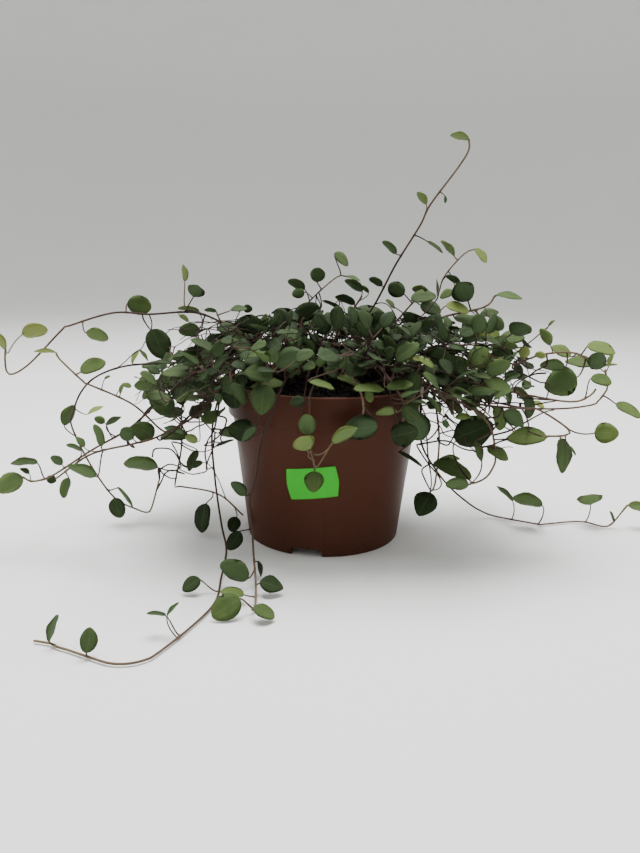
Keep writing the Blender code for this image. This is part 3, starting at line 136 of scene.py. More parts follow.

# Each traced vine: its route from the crown outwards, and its leaves. A leaf is written as the places of
# its base and its tip, the width that shows, and its tone from 0 for dark to 1 for pale as it shows: old
# leaves are dark and young ones pale, and a leaf that stands in shade has that shade painted into its tone.
VINES = {
    "high_left": (
        [(-30, 100, 0), (-44, 108, 4), (-54, 113, 8), (-63, 117.5, 10), (-72, 119, 12), (-82, 118, 13),
         (-91, 117.5, 14), (-100, 118.3, 15), (-110, 118.3, 16), (-120, 115.5, 17), (-130, 112.5, 18),
         (-138, 109.5, 19), (-144, 103.5, 20), (-150, 97, 21), (-157, 91, 22), (-163, 87, 22),
         (-168, 84.3, 23), (-170, 86, 24), (-170.6, 91, 25), (-169.6, 98, 26)],
        [(-169.6, 98, -177, 108.5, 5, 1.0), (-160.5, 106.5, -147.5, 109, 8, 1.0),
         (-104, 123.5, -91.5, 121, 10.5, 0.3), (-92.3, 109.5, -84.5, 94.5, 13, 0.1),
         (-126.5, 107.7, -115, 104.6, 7, 0.6), (-73.6, 134.8, -74, 143.5, 3.6, 0.9),
         (-69.4, 127, -66.5, 133, 9.5, 0.25), (-66.5, 119.5, -77.5, 121.3, 3, 0.7),
         (-77, 117.4, -72, 114.2, 2.8, 0.8), (-66.3, 109.3, -77.6, 109.5, 7.5, 0.3)]),
    "left_crest": (
        [(-28, 98, 12), (-42, 106, 15), (-51, 111, 17), (-56, 115.5, 18), (-57.5, 119.5, 18)],
        [(-57.5, 119.5, -64, 120.5, 2.5, 0.4), (-57.3, 120.5, -55.3, 124.3, 2.5, 0.4),
         (-50, 120.5, -41.5, 121.5, 3.5, 0.3), (-43.5, 121.5, -38.8, 121, 4.5, 0.0),
         (-48, 113, -31, 112, 10, 0.1), (-54, 108.5, -40, 104, 11, 0.15), (-57, 110, -47, 112, 6, 0.15)]),
    "second_left": (
        [(-30, 92, -10), (-45, 93, -12), (-60, 92.5, -13), (-80, 92, -12), (-98, 91.5, -10), (-110, 89, -8),
         (-119, 86, -6), (-126, 81, -5), (-131, 75.5, -4), (-134.5, 69, -3), (-136.5, 62, -2),
         (-137, 56, -2), (-135, 50, -2), (-131, 41, -2), (-126, 31, -2), (-120, 21.5, -2), (-115, 15.5, -2),
         (-108, 11.5, -2), (-98, 8, -2), (-94.7, 13, -3), (-93.2, 21, -4), (-90.5, 27.5, -5)],
        [(-141.5, 57, -135.7, 68, 7, 0.2), (-128, 63.5, -120, 68, 2.5, 0.7), (-116, 16, -113, 4.7, 9, 0.15),
         (-114, 22.5, -105.2, 11, 2.2, 0.3), (-103, 91.5, -99.5, 98.5, 2.5, 0.7),
         (-99, 99, -94, 93, 2, 0.6), (-69.5, 80, -88.5, 85, 14, 0.15), (-84, 90, -97.5, 90.5, 4.5, 0.1),
         (-69.5, 93, -82, 95.5, 5.5, 0.2)]),
    "left_riser": (
        [(-32, 92, 20), (-48, 90, 22), (-59, 80, 23), (-69, 67, 24), (-79, 57.5, 25), (-87, 54.5, 25),
         (-93, 60, 26), (-97, 64.5, 26), (-104, 69.5, 26), (-112, 74, 26), (-120, 78, 26), (-128, 80.3, 26),
         (-132, 84, 26), (-136, 88, 26), (-140, 90.5, 26), (-142.8, 96.5, 26)],
        [(-143.5, 97, -154, 97.5, 2.6, 1.0), (-130.7, 86.5, -117.8, 92.5, 8, 0.35),
         (-118, 83, -115, 84.6, 1.6, 0.2), (-110, 75, -108, 81, 2.2, 0.3), (-108, 80, -103.8, 79, 3, 0.5),
         (-90, 78.5, -102, 80, 7, 0.3), (-76, 53.5, -87, 57, 4, 0.1), (-73, 52, -89, 51.5, 6, 0.3),
         (-68, 62, -71.5, 69.5, 8, 0.15), (-70.5, 75, -79.5, 72, 5, 0.7)]),
    "left_tuft_upper": (
        [(-34, 96, 26), (-56, 93, 30), (-74, 84, 32), (-88, 72, 33), (-95, 66, 33), (-100, 61.5, 33),
         (-107, 55, 33), (-113, 51.5, 33), (-120, 48, 33), (-126, 44, 33), (-132, 40, 33), (-139, 35, 33),
         (-145, 30.5, 33), (-151, 28, 33), (-157, 25.3, 33), (-163, 25.5, 33), (-166, 27.5, 33)],
        [(-166, 27.5, -180, 20, 11.5, 0.55), (-157, 36, -171, 35.5, 4.5, 0.25),
         (-153, 27, -147.5, 25.5, 5, 0.05), (-143.5, 35, -149.5, 39.5, 5, 0.1),
         (-119, 59, -124.5, 61.5, 4.5, 0.35), (-118.5, 57.5, -110.5, 62.3, 3.5, 0.1),
         (-92.5, 52, -104, 57, 11, 0.1), (-59, 74, -64, 81.5, 8, 0.2), (-53, 73, -57.5, 84, 9, 0.5),
         (-162, 29.5, -167, 32.5, 3, 0.3)]),
    "left_tuft_lower": (
        [(-30, 88, 34), (-46, 85, 38), (-57, 76, 40), (-66, 66, 40), (-76, 60, 40), (-86, 54, 40),
         (-96, 49, 40), (-105, 47, 40), (-114, 46.3, 40), (-123, 43, 40), (-131, 39, 40), (-137, 33.5, 40),
         (-142, 29.5, 40), (-148, 26.5, 40)],
        [(-140.5, 27.5, -144.5, 16.5, 5.5, 0.45), (-125.5, 28.5, -140, 34.5, 7, 0.3),
         (-121.5, 45.5, -124.3, 58, 5, 0.2), (-132.5, 43, -140.5, 46.5, 3, 0.2),
         (-131, 45, -135, 51, 4, 0.15), (-104, 50, -110.5, 55.5, 8, 0.1), (-57.5, 54, -43, 54.5, 6.5, 0.1),
         (-69, 49, -75.5, 52, 5, 0.8)]),
    "left_kink": (
        [(-28, 96, -8), (-48, 98, -14), (-62, 94, -16), (-72, 82, -16), (-77, 68, -15), (-77.5, 52, -14),
         (-78.5, 40, -13), (-80.5, 30, -12), (-82, 24.5, -11), (-77, 23, -11), (-68, 21.3, -10),
         (-60, 20, -9), (-54, 16, -8), (-48.5, 11, -7), (-44.5, 7, -6)],
        [(-65.2, 13.7, -68.3, -2.5, 9, 0.1), (-48.3, 6, -51, -2, 7.5, 0.15),
         (-91, 34.3, -109.5, 36.8, 8, 0.4), (-69, 44, -74.5, 33, 5, 0.35),
         (-66.5, 37.5, -73, 34.5, 4, 0.15), (-60, 46, -49.5, 50.8, 2, 0.05), (-76, 66, -86, 63.5, 6, 0.1)]),
    "long_floor": (
        [(-28, 91, 30), (-42, 92, 36), (-53, 85, 39), (-58.5, 72, 40), (-60.5, 60, 41), (-61.7, 48, 42),
         (-61, 38, 43), (-59.8, 28, 45), (-58.8, 18, 48), (-57.8, 8, 50), (-56.2, -1, 52), (-54.6, -9, 55),
         (-54.2, -15, 58), (-55.3, -22, 63), (-56.8, -28, 68), (-58, -34, FLOOR), (-59, -40, FLOOR),
         (-61, -46, FLOOR), (-65, -52, FLOOR), (-72, -59, FLOOR), (-80, -66, FLOOR), (-90, -75, FLOOR),
         (-98, -81, FLOOR), (-105, -84.5, FLOOR), (-115, -86.5, FLOOR), (-125, -86, FLOOR),
         (-131, -84, FLOOR), (-137, -80.5, FLOOR), (-145, -78.5, FLOOR), (-152, -77, FLOOR),
         (-157, -74, FLOOR), (-163, -73, FLOOR), (-167, -72.3, FLOOR)],
        [(-69.5, -31.5, -79, -38.5, 8.5, 0.2), (-89.5, -54.5, -100.5, -53, 2.8, 0.3),
         (-89, -54.5, -83, -47, 2.5, 0.3), (-137, -79.5, -134, -65, 10.5, 0.35),
         (-158.5, -72.5, -153.5, -57.5, 5, 0.4)]),
    "pot_left": (
        [(-14, 92, 36), (-21, 84, 50), (-25, 75, 55), (-27.5, 67, 53), (-32, 58, 48), (-35, 48, 43),
         (-36, 40, 39), (-36.8, 32, 37), (-39.5, 22, 35), (-41, 15, 35), (-40, 8, 38), (-39.5, 0, 44),
         (-39, -10, 54), (-39, -20, 66), (-38, -30, 79), (-37, -40, 91), (-38, -47, 99), (-40, -50.5, 103)],
        [(-43, 18.7, -50.7, 26.5, 6.8, 0.1), (-35.5, -33, -21.8, -36.5, 10, 0.2),
         (-39.3, -49, -26.8, -54.5, 8, 0.5), (-42, -31, -57.3, -21.5, 12, 0.4),
         (-44.5, -41, -58, -38.8, 6, 0.75), (-47, -43, -61.5, -54.5, 15, 0.45),
         (-36.5, -20, -34.5, -29, 2.8, 0.05), (-46.5, -2.5, -52.5, -13, 8.5, 0.1)]),
    "front_sprig": (
        [(-3, 93, 30), (-6, 85, 46), (-8, 75, 56), (-8.5, 64, 58), (-8, 54, 58), (-7, 44, 57),
         (-4.5, 34, 56)],
        [(4.5, 49.5, 17.5, 58.5, 7.5, 0.8), (-9.3, 45, -12.5, 52.8, 12.8, 0.85),
         (-9, 53.5, -9.6, 65, 10, 0.45), (-5, 33, -5.6, 22.2, 11, 0.5), (-11, 73, -19, 71, 6.5, 0.0)]),
    "front_left": (
        [(-12, 96, 26), (-21, 94, 40), (-29, 87, 52), (-34, 79, 57), (-36, 73, 58)],
        [(-33, 81, -34, 65.5, 14, 0.2), (-21.5, 81.5, -40, 80.5, 6, 0.4), (-28, 85.5, -43, 88.5, 10, 0.3),
         (-29.5, 96.5, -44, 98, 6, 0.45), (-12, 97.5, -26.5, 92, 13.5, 0.15), (-37, 58, -45, 50, 6, 0.0)]),
    "front_right": (
        [(4, 98, 24), (9, 93, 38), (14, 86, 50), (19, 78, 57), (21, 69, 58), (20, 63, 57)],
        [(-8.5, 83, 5, 80, 4, 0.5), (6, 86, 20.5, 81.5, 4.5, 0.6), (15.5, 79.5, 32, 80, 5.5, 0.5),
         (22.5, 79, 25, 72.5, 5, 0.5), (29, 60, 10, 55.5, 14, 0.0), (8, 91, 0.5, 89.5, 2.5, 0.4),
         (8.5, 90, 12, 100, 6.5, 0.4)]),
    "front_far_right": (
        [(16, 96, 22), (26, 94, 36), (34, 86, 46), (40, 77, 51), (43, 68, 52), (42, 60, 50)],
        [(39, 67.5, 27.5, 66.3, 5, 0.75), (36.5, 53, 50, 57, 14, 0.05), (42, 70, 51, 63, 9, 0.2),
         (33, 80.5, 47, 83, 6.5, 0.45), (52, 95.5, 43.5, 97, 3.5, 0.9), (57.5, 91.5, 49, 97.5, 4, 0.7)]),
    "tall_shoot": (
        [(12, 98, -6), (18, 110, -8), (23, 120, -9), (27, 128, -10), (30.5, 135, -10), (35.5, 145, -10),
         (40, 151, -10), (44, 155, -10), (46, 160, -10), (47.5, 166, -10), (50, 172, -10), (55, 179, -10),
         (60, 186, -10), (65, 193, -10), (69, 199, -10), (69.9, 203, -10), (69.5, 206.5, -10)],
        [(69.5, 206.5, 60.3, 208.5, 4, 0.85), (50, 175, 45, 181, 4, 0.8),
         (59, 179.3, 59.5, 175.5, 1.6, 0.3), (35.5, 150.3, 28.5, 156.8, 4, 0.35),
         (51.2, 156.8, 59.7, 151.5, 2, 0.15), (29, 134, 22, 138, 4, 0.1)]),
    "second_shoot": (
        [(24, 98, 2), (38, 108, 3), (50, 118, 3), (57, 127, 3), (59, 134, 3), (61, 139.5, 3), (65, 144, 3),
         (69, 149.7, 3), (73, 152, 3), (76, 153.3, 3)],
        [(76, 153.5, 82.5, 146.7, 4, 0.75), (65.5, 149.7, 58.5, 157.5, 3.6, 0.75),
         (61.5, 139.5, 70, 135.5, 3.5, 0.1), (57.5, 130, 57.3, 138, 1.4, 0.5),
         (66, 132, 59, 128.5, 4.5, 0.4)]),
    "crest_left": (
        [(-12, 104, -8), (-12, 115, -10), (-9.5, 124, -11), (-5, 129.5, -12), (0, 134, -12), (5, 138, -12),
         (10, 138.6, -12)],
        [(10, 138.6, 17.5, 136.8, 2, 0.3), (3.8, 150.5, 11, 144, 5, 0.4), (-5, 135.3, -4.5, 143, 8, 0.35),
         (-11.3, 131.7, -20, 136.3, 5.2, 0.25), (-11.5, 130.3, -18, 128.8, 5.5, 0.3),
         (-3, 122, -17.5, 117, 10, 0.1), (-15, 113, -30, 109, 9, 0.15), (-18, 120.5, -29, 119.5, 3, 0.2)]),
    "crest_middle": (
        [(4, 104, -18), (10, 115, -21), (15, 123, -22), (18.5, 128.5, -22)],
        [(18.8, 131, 9.5, 137, 4.8, 0.25), (22, 130.5, 17.5, 134, 2.5, 0.7),
         (15, 124.5, 4.5, 128.5, 4.5, 0.1), (8, 121.5, -2, 126.5, 2.2, 0.2), (32, 115, 13.5, 121, 11, 0.15),
         (-6, 100.5, 8, 103, 8.5, 0.1)]),
    "crest_right": (
        [(26, 102, -14), (36, 113, -16), (42, 122, -17), (46.5, 127.5, -17), (50, 131, -17)],
        [(40.5, 130, 32, 134.5, 8.5, 0.05), (44.3, 132.8, 53.5, 131.5, 4, 0.7),
         (44, 127.5, 57, 129.5, 7, 0.3), (31, 127, 36, 122.5, 2.5, 0.3), (49, 124.5, 60, 121, 7.5, 0.15)]),
    "right_crest": (
        [(32, 100, 8), (46, 110, 10), (58, 117, 11), (70, 121, 11), (80.5, 122.5, 11), (84.5, 127, 11),
         (88, 130.3, 11)],
        [(88.3, 130.3, 101.8, 129, 3.6, 0.3), (74, 126.8, 68, 136.3, 12.5, 0.1),
         (62.5, 124.8, 74.5, 121.5, 5.5, 0.8), (80.5, 120, 90, 121.5, 4.5, 0.2), (67, 118, 80, 116, 5, 0.3),
         (86, 118.5, 93, 112.5, 7, 0.1)]),
    "right_thin": (
        [(34, 98, -2), (58, 103, 0), (78, 104, 2), (92, 103.5, 4), (100, 102.5, 5), (106, 104.7, 6),
         (112, 110, 6), (116.5, 114, 6)],
        [(116.7, 114.2, 119.8, 117.8, 1.6, 0.6), (92, 107.5, 104.5, 108.5, 7.5, 0.25),
         (91.5, 109, 79.8, 111.5, 9, 0.75), (97, 104.5, 90, 95.5, 11, 0.05),
         (94.5, 104, 101.5, 103.3, 4, 0.6)]),
    "right_upper": (
        [(32, 95, 18), (54, 100, 22), (75, 101.5, 23), (90, 97, 23), (100, 94, 23), (107, 97, 23),
         (115, 99.5, 23), (122, 99.6, 23), (128, 100.6, 23), (131, 100.6, 23), (137, 98.5, 23),
         (141, 96, 23)],
        [(138, 104.7, 152.5, 101.5, 6.5, 0.5), (129.8, 98.5, 120, 104, 6, 0.45),
         (127.5, 93, 114.5, 94, 6.5, 0.25), (143, 94.5, 128, 96.5, 6.5, 0.2), (134, 88, 118, 81.5, 17, 0.3),
         (142, 92, 146.5, 101, 9.5, 0.05), (118.7, 104.5, 113, 113, 5.5, 0.65),
         (104, 97.5, 106.5, 103.5, 6, 0.95), (111, 99.7, 116.5, 98.5, 4, 0.95),
         (60, 88.5, 61, 102.5, 17, 0.2), (80, 91, 63, 98.3, 4.5, 0.7)]),
    "right_middle_front": (
        [(30, 90, 32), (50, 92, 36), (72, 86, 38), (90, 80.5, 38), (104, 78.3, 38), (112, 77, 38),
         (120, 75.6, 38), (127, 74.5, 38), (132, 74.2, 38), (138, 76.3, 38), (142, 77.5, 38),
         (145, 81.5, 38)],
        [(141.8, 87.5, 152.3, 85, 6.5, 0.3), (105, 81.8, 112, 82.5, 2, 0.1),
         (108.5, 77.5, 111, 65, 6, 0.05), (85, 84, 99, 81, 8, 0.3), (100.5, 81.5, 110, 74, 5, 0.35),
         (86, 89, 98, 95, 9, 0.35)]),
    "right_middle_back": (
        [(34, 88, 4), (58, 86, 5), (80, 77, 6), (95, 72.5, 6), (110, 70.2, 6), (120, 70, 6), (130, 70.5, 6),
         (139, 71.5, 6), (145, 73.3, 6), (149, 77.5, 6), (151, 83, 6), (150, 88, 6), (148.8, 92, 6)],
        [(156.5, 73.5, 169.5, 67.3, 6, 0.35), (150.5, 93.5, 152, 101, 2.5, 0.4),
         (146, 93.5, 154.5, 95, 1.6, 0.7), (88, 79, 75, 80, 8, 0.1), (112, 74, 118, 71, 3, 0.8)]),
    "right_loop": (
        [(36, 84, 40), (56, 82, 46), (76, 74, 48), (95, 70, 48), (113, 70, 46), (120, 67, 45),
         (125, 63.5, 45), (130, 60.8, 45), (133, 57.8, 45), (131, 55.6, 45), (125, 55, 45),
         (118, 54.8, 45)],
        [(146.5, 57.3, 158.3, 57.3, 11.5, 0.45), (129, 54, 131.7, 35, 8.5, 0.15),
         (121, 54.3, 99, 54, 10.5, 0.4), (96.5, 68.5, 107.5, 61, 9, 0.05), (133, 50, 137.5, 45, 1.6, 0.4)]),
    "right_hang": (
        [(34, 86, 44), (52, 82, 51), (68, 75, 54), (82, 68, 54), (90, 59, 53), (92.7, 50, 52),
         (93.8, 41, 52), (91, 33, 52), (86, 28.7, 52), (80.5, 27.5, 52)],
        [(80.3, 26.8, 67.5, 27, 7.5, 0.35), (89, 48, 100.5, 42, 6.5, 0.3), (71, 52, 91, 62, 17, 0.05),
         (82, 51, 86.5, 41, 4.5, 0.3), (70.5, 64.5, 79, 65.5, 4, 0.6), (64, 63, 67, 59, 3.5, 0.0)]),
    "right_drop": (
        [(30, 92, 14), (46, 92, 20), (56, 82, 23), (60.5, 68, 24), (62.3, 55, 25), (62.8, 45, 26),
         (63, 36, 27), (61.5, 27, 28), (59.3, 22.7, 28)],
        [(59, 22, 54, 9.3, 13.5, 0.1), (60, 39, 81, 32, 9, 0.4), (63, 40.5, 74.5, 42, 4, 0.5),
         (54, 52, 47, 66, 15, 0.1)]),
    "lower_right": (
        [(26, 93, 22), (40, 88, 30), (47.5, 82.5, 33), (51.5, 74, 33), (51.5, 64, 30), (52.5, 52, 25),
         (56, 44, 19), (60.5, 36.5, 12), (65.5, 30, 5), (71, 24, -2), (77, 18.8, -8), (83, 14.4, -14),
         (90, 10.6, -20), (98, 8, FLOOR), (105, 6.3, FLOOR), (112, 5.2, FLOOR), (118, 4.4, FLOOR),
         (122, 4, FLOOR), (126, 4.7, FLOOR), (135, 5.7, FLOOR), (143, 6, FLOOR), (148, 5.5, FLOOR),
         (154, 3.8, FLOOR), (158, 3.2, FLOOR), (161.5, 5.5, -6), (164, 9, -6), (167, 14.5, -6),
         (169, 16.6, -6)],
        [(169.3, 16.7, 181, 13.5, 5.5, 0.85), (105.3, 17.8, 96.5, 26, 3, 0.5),
         (121.8, 15.8, 105.5, 20, 7.5, 0.5), (148.5, 16.3, 147, 22, 14, 0.6),
         (162.3, 6.5, 160, 12.3, 1.6, 0.3), (41, 45, 54, 37.5, 2.5, 0.2)]),
}
print("traced vines:", len(VINES), "leaves on them:", sum(len(places) for _, places in VINES.values()))

# %% [markdown]
# ## From the eye to the object
# A point that was judged from the front lies somewhere on a sight line. How near it is, in front of the
# pot's axis, picks the place on that line. A vine that lies on the surface is as near as where its sight
# line meets the surface.

# %% Places from the front
LYING = 1.0  # how high the middle of a stem that lies on the surface is
TINY = 1e-9


def unit(vector):
    """The vector at length 1."""
    return vector / max(np.linalg.norm(vector), TINY)


def seen(across, up, near):
    """The place that looks to be at (across, up) on the plane through the axis and stands near in
    front of it. Where near is FLOOR, the sight line is followed down to where the vine lies."""
    plane = np.array([across, 0.0, up])
    if near is FLOOR:
        share = (LYING - EYE[2]) / (plane[2] - EYE[2])
    else:
        share = (near + EYE[1]) / EYE[1]
    return EYE + (plane - EYE) * share


def shown_places(points):
    """Where points show from the front, across and up, on the plane through the axis."""
    share = EYE[1] / (EYE[1] - points[:, 1])
    return (EYE + (points - EYE) * share[:, None])[:, [0, 2]]


print("a point at the pot's rim:", seen(50, 84, 0).round(1))

# %% [markdown]
# ## Stems as smooth curves
# A living stem bends evenly. A Catmull-Rom curve passes through every point that it is given, so it
# follows the traced course, and it is thinned to as few points as its bends need.

# %% Curves through points
CURVE_STEP = 1.5


def smooth_curve(points, step):
    """A Catmull-Rom curve through the points: on each span, half of the sum of the four nearest
    points weighed by cubics of the share along the span."""
    points = np.asarray(points, float)
    padded = np.vstack([2 * points[0] - points[1], points, 2 * points[-1] - points[-2]])
    curve = []
    for before, start, end, after in zip(padded, padded[1:], padded[2:], padded[3:]):
        count = max(2, int(np.linalg.norm(end - start) / step))
        for t in np.arange(count) / count:
            curve.append(0.5 * (2 * start + (end - before) * t
                                + (2 * before - 5 * start + 4 * end - after) * t ** 2
                                + (3 * start - before - 3 * end + after) * t ** 3))
    curve.append(points[-1])
    return np.array(curve)


def thin_out(curve, turn, reach):
    """The curve with a point kept only where it has turned by turn degrees or run reach."""
    kept = [curve[0], curve[1]]
    way = unit(curve[1] - curve[0])
    for here, following in zip(curve[1:], curve[2:]):
        step = unit(following - here)
        angle = math.degrees(math.acos(np.clip(step @ way, -1.0, 1.0)))
        if angle > turn or np.linalg.norm(following - kept[-1]) > reach:
            if np.linalg.norm(here - kept[-1]) > STEM_SHORT:
                kept.append(here)
                way = step
    kept.append(curve[-1])
    return np.array(kept)


def spaced_curve(points):
    """The stem's centre line, as few points as its bends need."""
    return thin_out(smooth_curve(points, CURVE_STEP), STEM_TURN, STEM_REACH)


corner = [(0, 0, 0), (30, 0, 0), (30, 30, 0)]
print("points kept of a right-angled bend:", len(spaced_curve(corner)))

# %% [markdown]
# ## Where the stems stand
# Many cuttings are set in one pot. Their holes are spread evenly, as the seeds of a sunflower are: each is
# turned by the golden angle, at a radius that grows as a square root. The stems of the mound arch over the
# rim on the same turns.

# %% Holes and the mound's stems
HOLE_START = 0.6  # keeps the first hole off the middle
HOLE_LEAN = 0.45  # how far towards its route a stem's hole lies
RISE_OVER_SOIL = 3.0
MOUND_TURN = 0.4  # the turn of the mound's first stem, in radians
MOUND_OVAL = 1.5  # how sharply the mound stretches to its two sides
MOUND_RISE = (0.55, 42.0)  # its first point's height: a share of the crest's, and what is added
MOUND_LUCK = 8.0  # how much the reach of a stem of the mound varies
MOUND_SWAY = 14.0  # and how far it sways aside
MOUND_SHARES = (0.22, 0.48, 0.78, 1.0)  # where its four points stand, in its reach
SLENDER_SHARE = 0.85
STEM_TAPER = 1.3  # the power of the share along a stem by which it thins


def hole_places():
    """The holes in the soil: seeds of a sunflower, hole k at a radius that grows as the root of k."""
    places = []
    for k in range(HOLE_COUNT):
        radius = HOLE_SPREAD * math.sqrt(k + HOLE_START)
        angle = k * GOLDEN_ANGLE
        places.append(np.array([radius * math.cos(angle), radius * math.sin(angle)]))
    return places


def mound_route(number, draw):
    """One stem of the mound: it rises from the crown, arches over the rim and droops."""
    angle = number * GOLDEN_ANGLE + MOUND_TURN
    outward = np.array([math.cos(angle), math.sin(angle)])
    reach = MOUND_REACH + MOUND_STRETCH * abs(outward[0]) ** MOUND_OVAL
    reach += draw.uniform(-MOUND_LUCK, MOUND_LUCK)
    crest = draw.uniform(*MOUND_CREST)
    end = draw.uniform(*MOUND_END)
    sway = draw.uniform(-MOUND_SWAY, MOUND_SWAY) * np.array([-outward[1], outward[0]])
    heights = (MOUND_RISE[0] * crest + MOUND_RISE[1], crest, 0.75 * crest + 0.25 * end, end)
    return [np.append(outward * reach * share + sway * share ** 2, height)
            for share, height in zip(MOUND_SHARES, heights)]


def planned_routes(draw):
    """Every stem's centre line by name, each from its own hole in the soil."""
    routes = {}
    for name, (places, _) in VINES.items():
        routes[name] = [seen(*place) for place in places]
    for number in range(MOUND_STEMS):
        routes[f"mound_{number + 1:02d}"] = mound_route(number, draw)
    free = hole_places()
    lines = {}
    for name, route in routes.items():
        lean = route[1][:2] * HOLE_LEAN
        hole = min(free, key=lambda place: np.linalg.norm(place - lean))
        free = [place for place in free if place is not hole]
        foot = [np.append(hole, STEM_FOOT), np.append(hole, SOIL_TOP + RISE_OVER_SOIL)]
        lines[name] = np.vstack([foot[0], spaced_curve([foot[1]] + route)])
    return lines


def stem_radius(name, share):
    """A stem thins from its foot to its tip."""
    thick = STEM_THICK * (SLENDER_SHARE if name in SLENDER else 1.0)
    return thick + (STEM_THIN - thick) * share ** STEM_TAPER


print("stems planned:", len(VINES) + MOUND_STEMS)

# %% [markdown]
# ## Keeping stems apart
# Real stems never pass through each other. Where two centre lines come too close, both are pushed away,
# half each, until nothing is left to push. A stem is also kept out of the pot, the soil and the surface.

# %% Stems pushed apart
SOIL_GUARD = 8.0  # a point this deep in the soil is still lifted out
RIM_GUARD = 4.0  # nearer to the rim than this, it is lifted over the rim
COLLAR_GUARD = 3.0  # the collar counts from this far below it
PUSH_SPARE = 0.3  # how much farther than needed stems are pushed
NO_WAY = 0.05  # closer than this, the gap has no direction of its own
ANY_WAY = np.array([0.3, 0.5, 0.8])  # and the push takes this one


def closest(p, q, a, b):
    """Shares along the segments p-q and a-b of their closest points, for arrays of segments."""
    u, v, w = q - p, b - a, p - a
    uu, uv, vv = (u * u).sum(-1), (u * v).sum(-1), (v * v).sum(-1)
    uw, vw = (u * w).sum(-1), (v * w).sum(-1)
    flat = np.maximum(uu * vv - uv * uv, TINY)
    s = np.clip((uv * vw - vv * uw) / flat, 0, 1)
    t = np.clip((uv * s + vw) / np.maximum(vv, TINY), 0, 1)
    s = np.clip((uv * t - uw) / np.maximum(uu, TINY), 0, 1)
    return s, t


def clear_of_pot(point, margin):
    """The point pushed out of the pot's wall, the soil and the surface below, by margin."""
    x, y, z = point
    radius = max(math.hypot(x, y), 1e-6)
    z = max(z, margin)
    if radius <= RIM_MIDDLE and z > SOIL_TOP - SOIL_GUARD:
        near_rim = radius > RIM_MIDDLE - RIM_GUARD
        z = max(z, (POT_TALL if near_rim else SOIL_TOP) + margin)
    elif z < POT_TALL + margin:
        wall = RIM_OUTER if z > COLLAR_LOW - COLLAR_GUARD else wall_radius(z)
        wanted = max(radius, wall + margin)
        x, y = x * wanted / radius, y * wanted / radius
    return np.array([x, y, z])


def wall_radius(z):
    """The pot's outer radius at height z below its collar."""
    return FOOT_OUTER + (BODY_OUTER - FOOT_OUTER) * min(max(z / COLLAR_LOW, 0.0), 1.0)


def bend_clear(lines):
    """Stems of different nodes that come too close are pushed apart, half each, many times over."""
    names = list(lines)
    points = np.vstack([lines[name] for name in names])
    owner = np.concatenate([[k] * len(lines[name]) for k, name in enumerate(names)])
    first = np.concatenate([np.arange(len(lines[name])) for name in names])
    start = np.where(owner[:-1] == owner[1:])[0]
    fixed = first <= 1
    i, j = np.triu_indices(len(start), 1)
    apart = owner[start[i]] != owner[start[j]]
    i, j = start[i[apart]], start[j[apart]]
    for _ in range(CLEAR_ROUNDS):
        middle = (points[:-1] + points[1:]) / 2
        half = np.linalg.norm(points[1:] - points[:-1], axis=1) / 2
        close = np.linalg.norm(middle[i] - middle[j], axis=1) < half[i] + half[j] + STEM_APART
        pairs = np.stack([i[close], j[close]], axis=1)
        p, q, a, b = (points[pairs[:, 0]], points[pairs[:, 0] + 1],
                      points[pairs[:, 1]], points[pairs[:, 1] + 1])
        s, t = closest(p, q, a, b)
        gap = (p + (q - p) * s[:, None]) - (a + (b - a) * t[:, None])
        length = np.linalg.norm(gap, axis=1)
        short = length < STEM_APART
        if not short.any():
            break
        push = np.zeros_like(points)
        for (first_end, second_end), s_share, t_share, way, size in zip(
                pairs[short], s[short], t[short], gap[short], length[short]):
            way = way / size if size > NO_WAY else ANY_WAY
            move = way * (STEM_APART + PUSH_SPARE - size) / 2
            push[first_end] += move * (1 - s_share)
            push[first_end + 1] += move * s_share
            push[second_end] -= move * (1 - t_share)
            push[second_end + 1] -= move * t_share
        push[fixed] = 0
        points = points + push
        for k in np.where(~fixed)[0]:
            points[k] = clear_of_pot(points[k], STEM_CLEAR)
        for k in start[~fixed[start]]:
            middle = (points[k] + points[k + 1]) / 2
            points[k:k + 2] += clear_of_pot(middle, STEM_CLEAR) - middle
    return {name: points[owner == k] for k, name in enumerate(names)}


print("wall at the collar:", round(wall_radius(COLLAR_LOW), 1), "mm")

# %% [markdown]
# ## The shape of a leaf
# The leaves are small and nearly round, widest a little below the middle, with a blunt tip. Two edges rise
# a little and the tip falls a little. One function of the share of its length and the way across gives
# every point of it.

# %% The leaf as a function
WIDEST_LOW = 0.86  # below 1, the widest place is below the middle
LEAF_BLUNT = 0.62  # below 1, both ends are blunt
LEAF_CUP = 0.09  # how high the edges rise, in the width
LEAF_DROOP = 0.05  # how deep the tip falls, in the length
CLOUD_SHARES = (0.04, 0.2, 0.4, 0.6, 0.8, 0.97)
CLOUD_ACROSS = (-1.0, -0.5, 0.0, 0.5, 1.0)


def blade_half_width(share):
    """Half of a blade's width at a share of its length, where its greatest width is 1."""
    return 0.5 * np.sin(np.pi * np.clip(share, 0, 1) ** WIDEST_LOW) ** LEAF_BLUNT


def sheet_height(leaf, share, side):
    """How high a blade's middle sheet stands: its edges rise and its tip falls, each by a parabola."""
    rise = LEAF_CUP * leaf["width"] * (side / leaf["width"]) ** 2 * 4
    fall = LEAF_DROOP * leaf["length"] * share ** 2
    return rise - fall


def blade_surface(leaf, share, across):
    """Points of a blade's middle sheet, at a share of its length and across from -1 to 1."""
    share, across = np.broadcast_arrays(np.asarray(share, float), np.asarray(across, float))
    side = across * blade_half_width(share) * leaf["width"]
    return (leaf["base"] + share[..., None] * leaf["length"] * leaf["way"] + side[..., None] * leaf["side"]
            + sheet_height(leaf, share, side)[..., None] * leaf["face"])


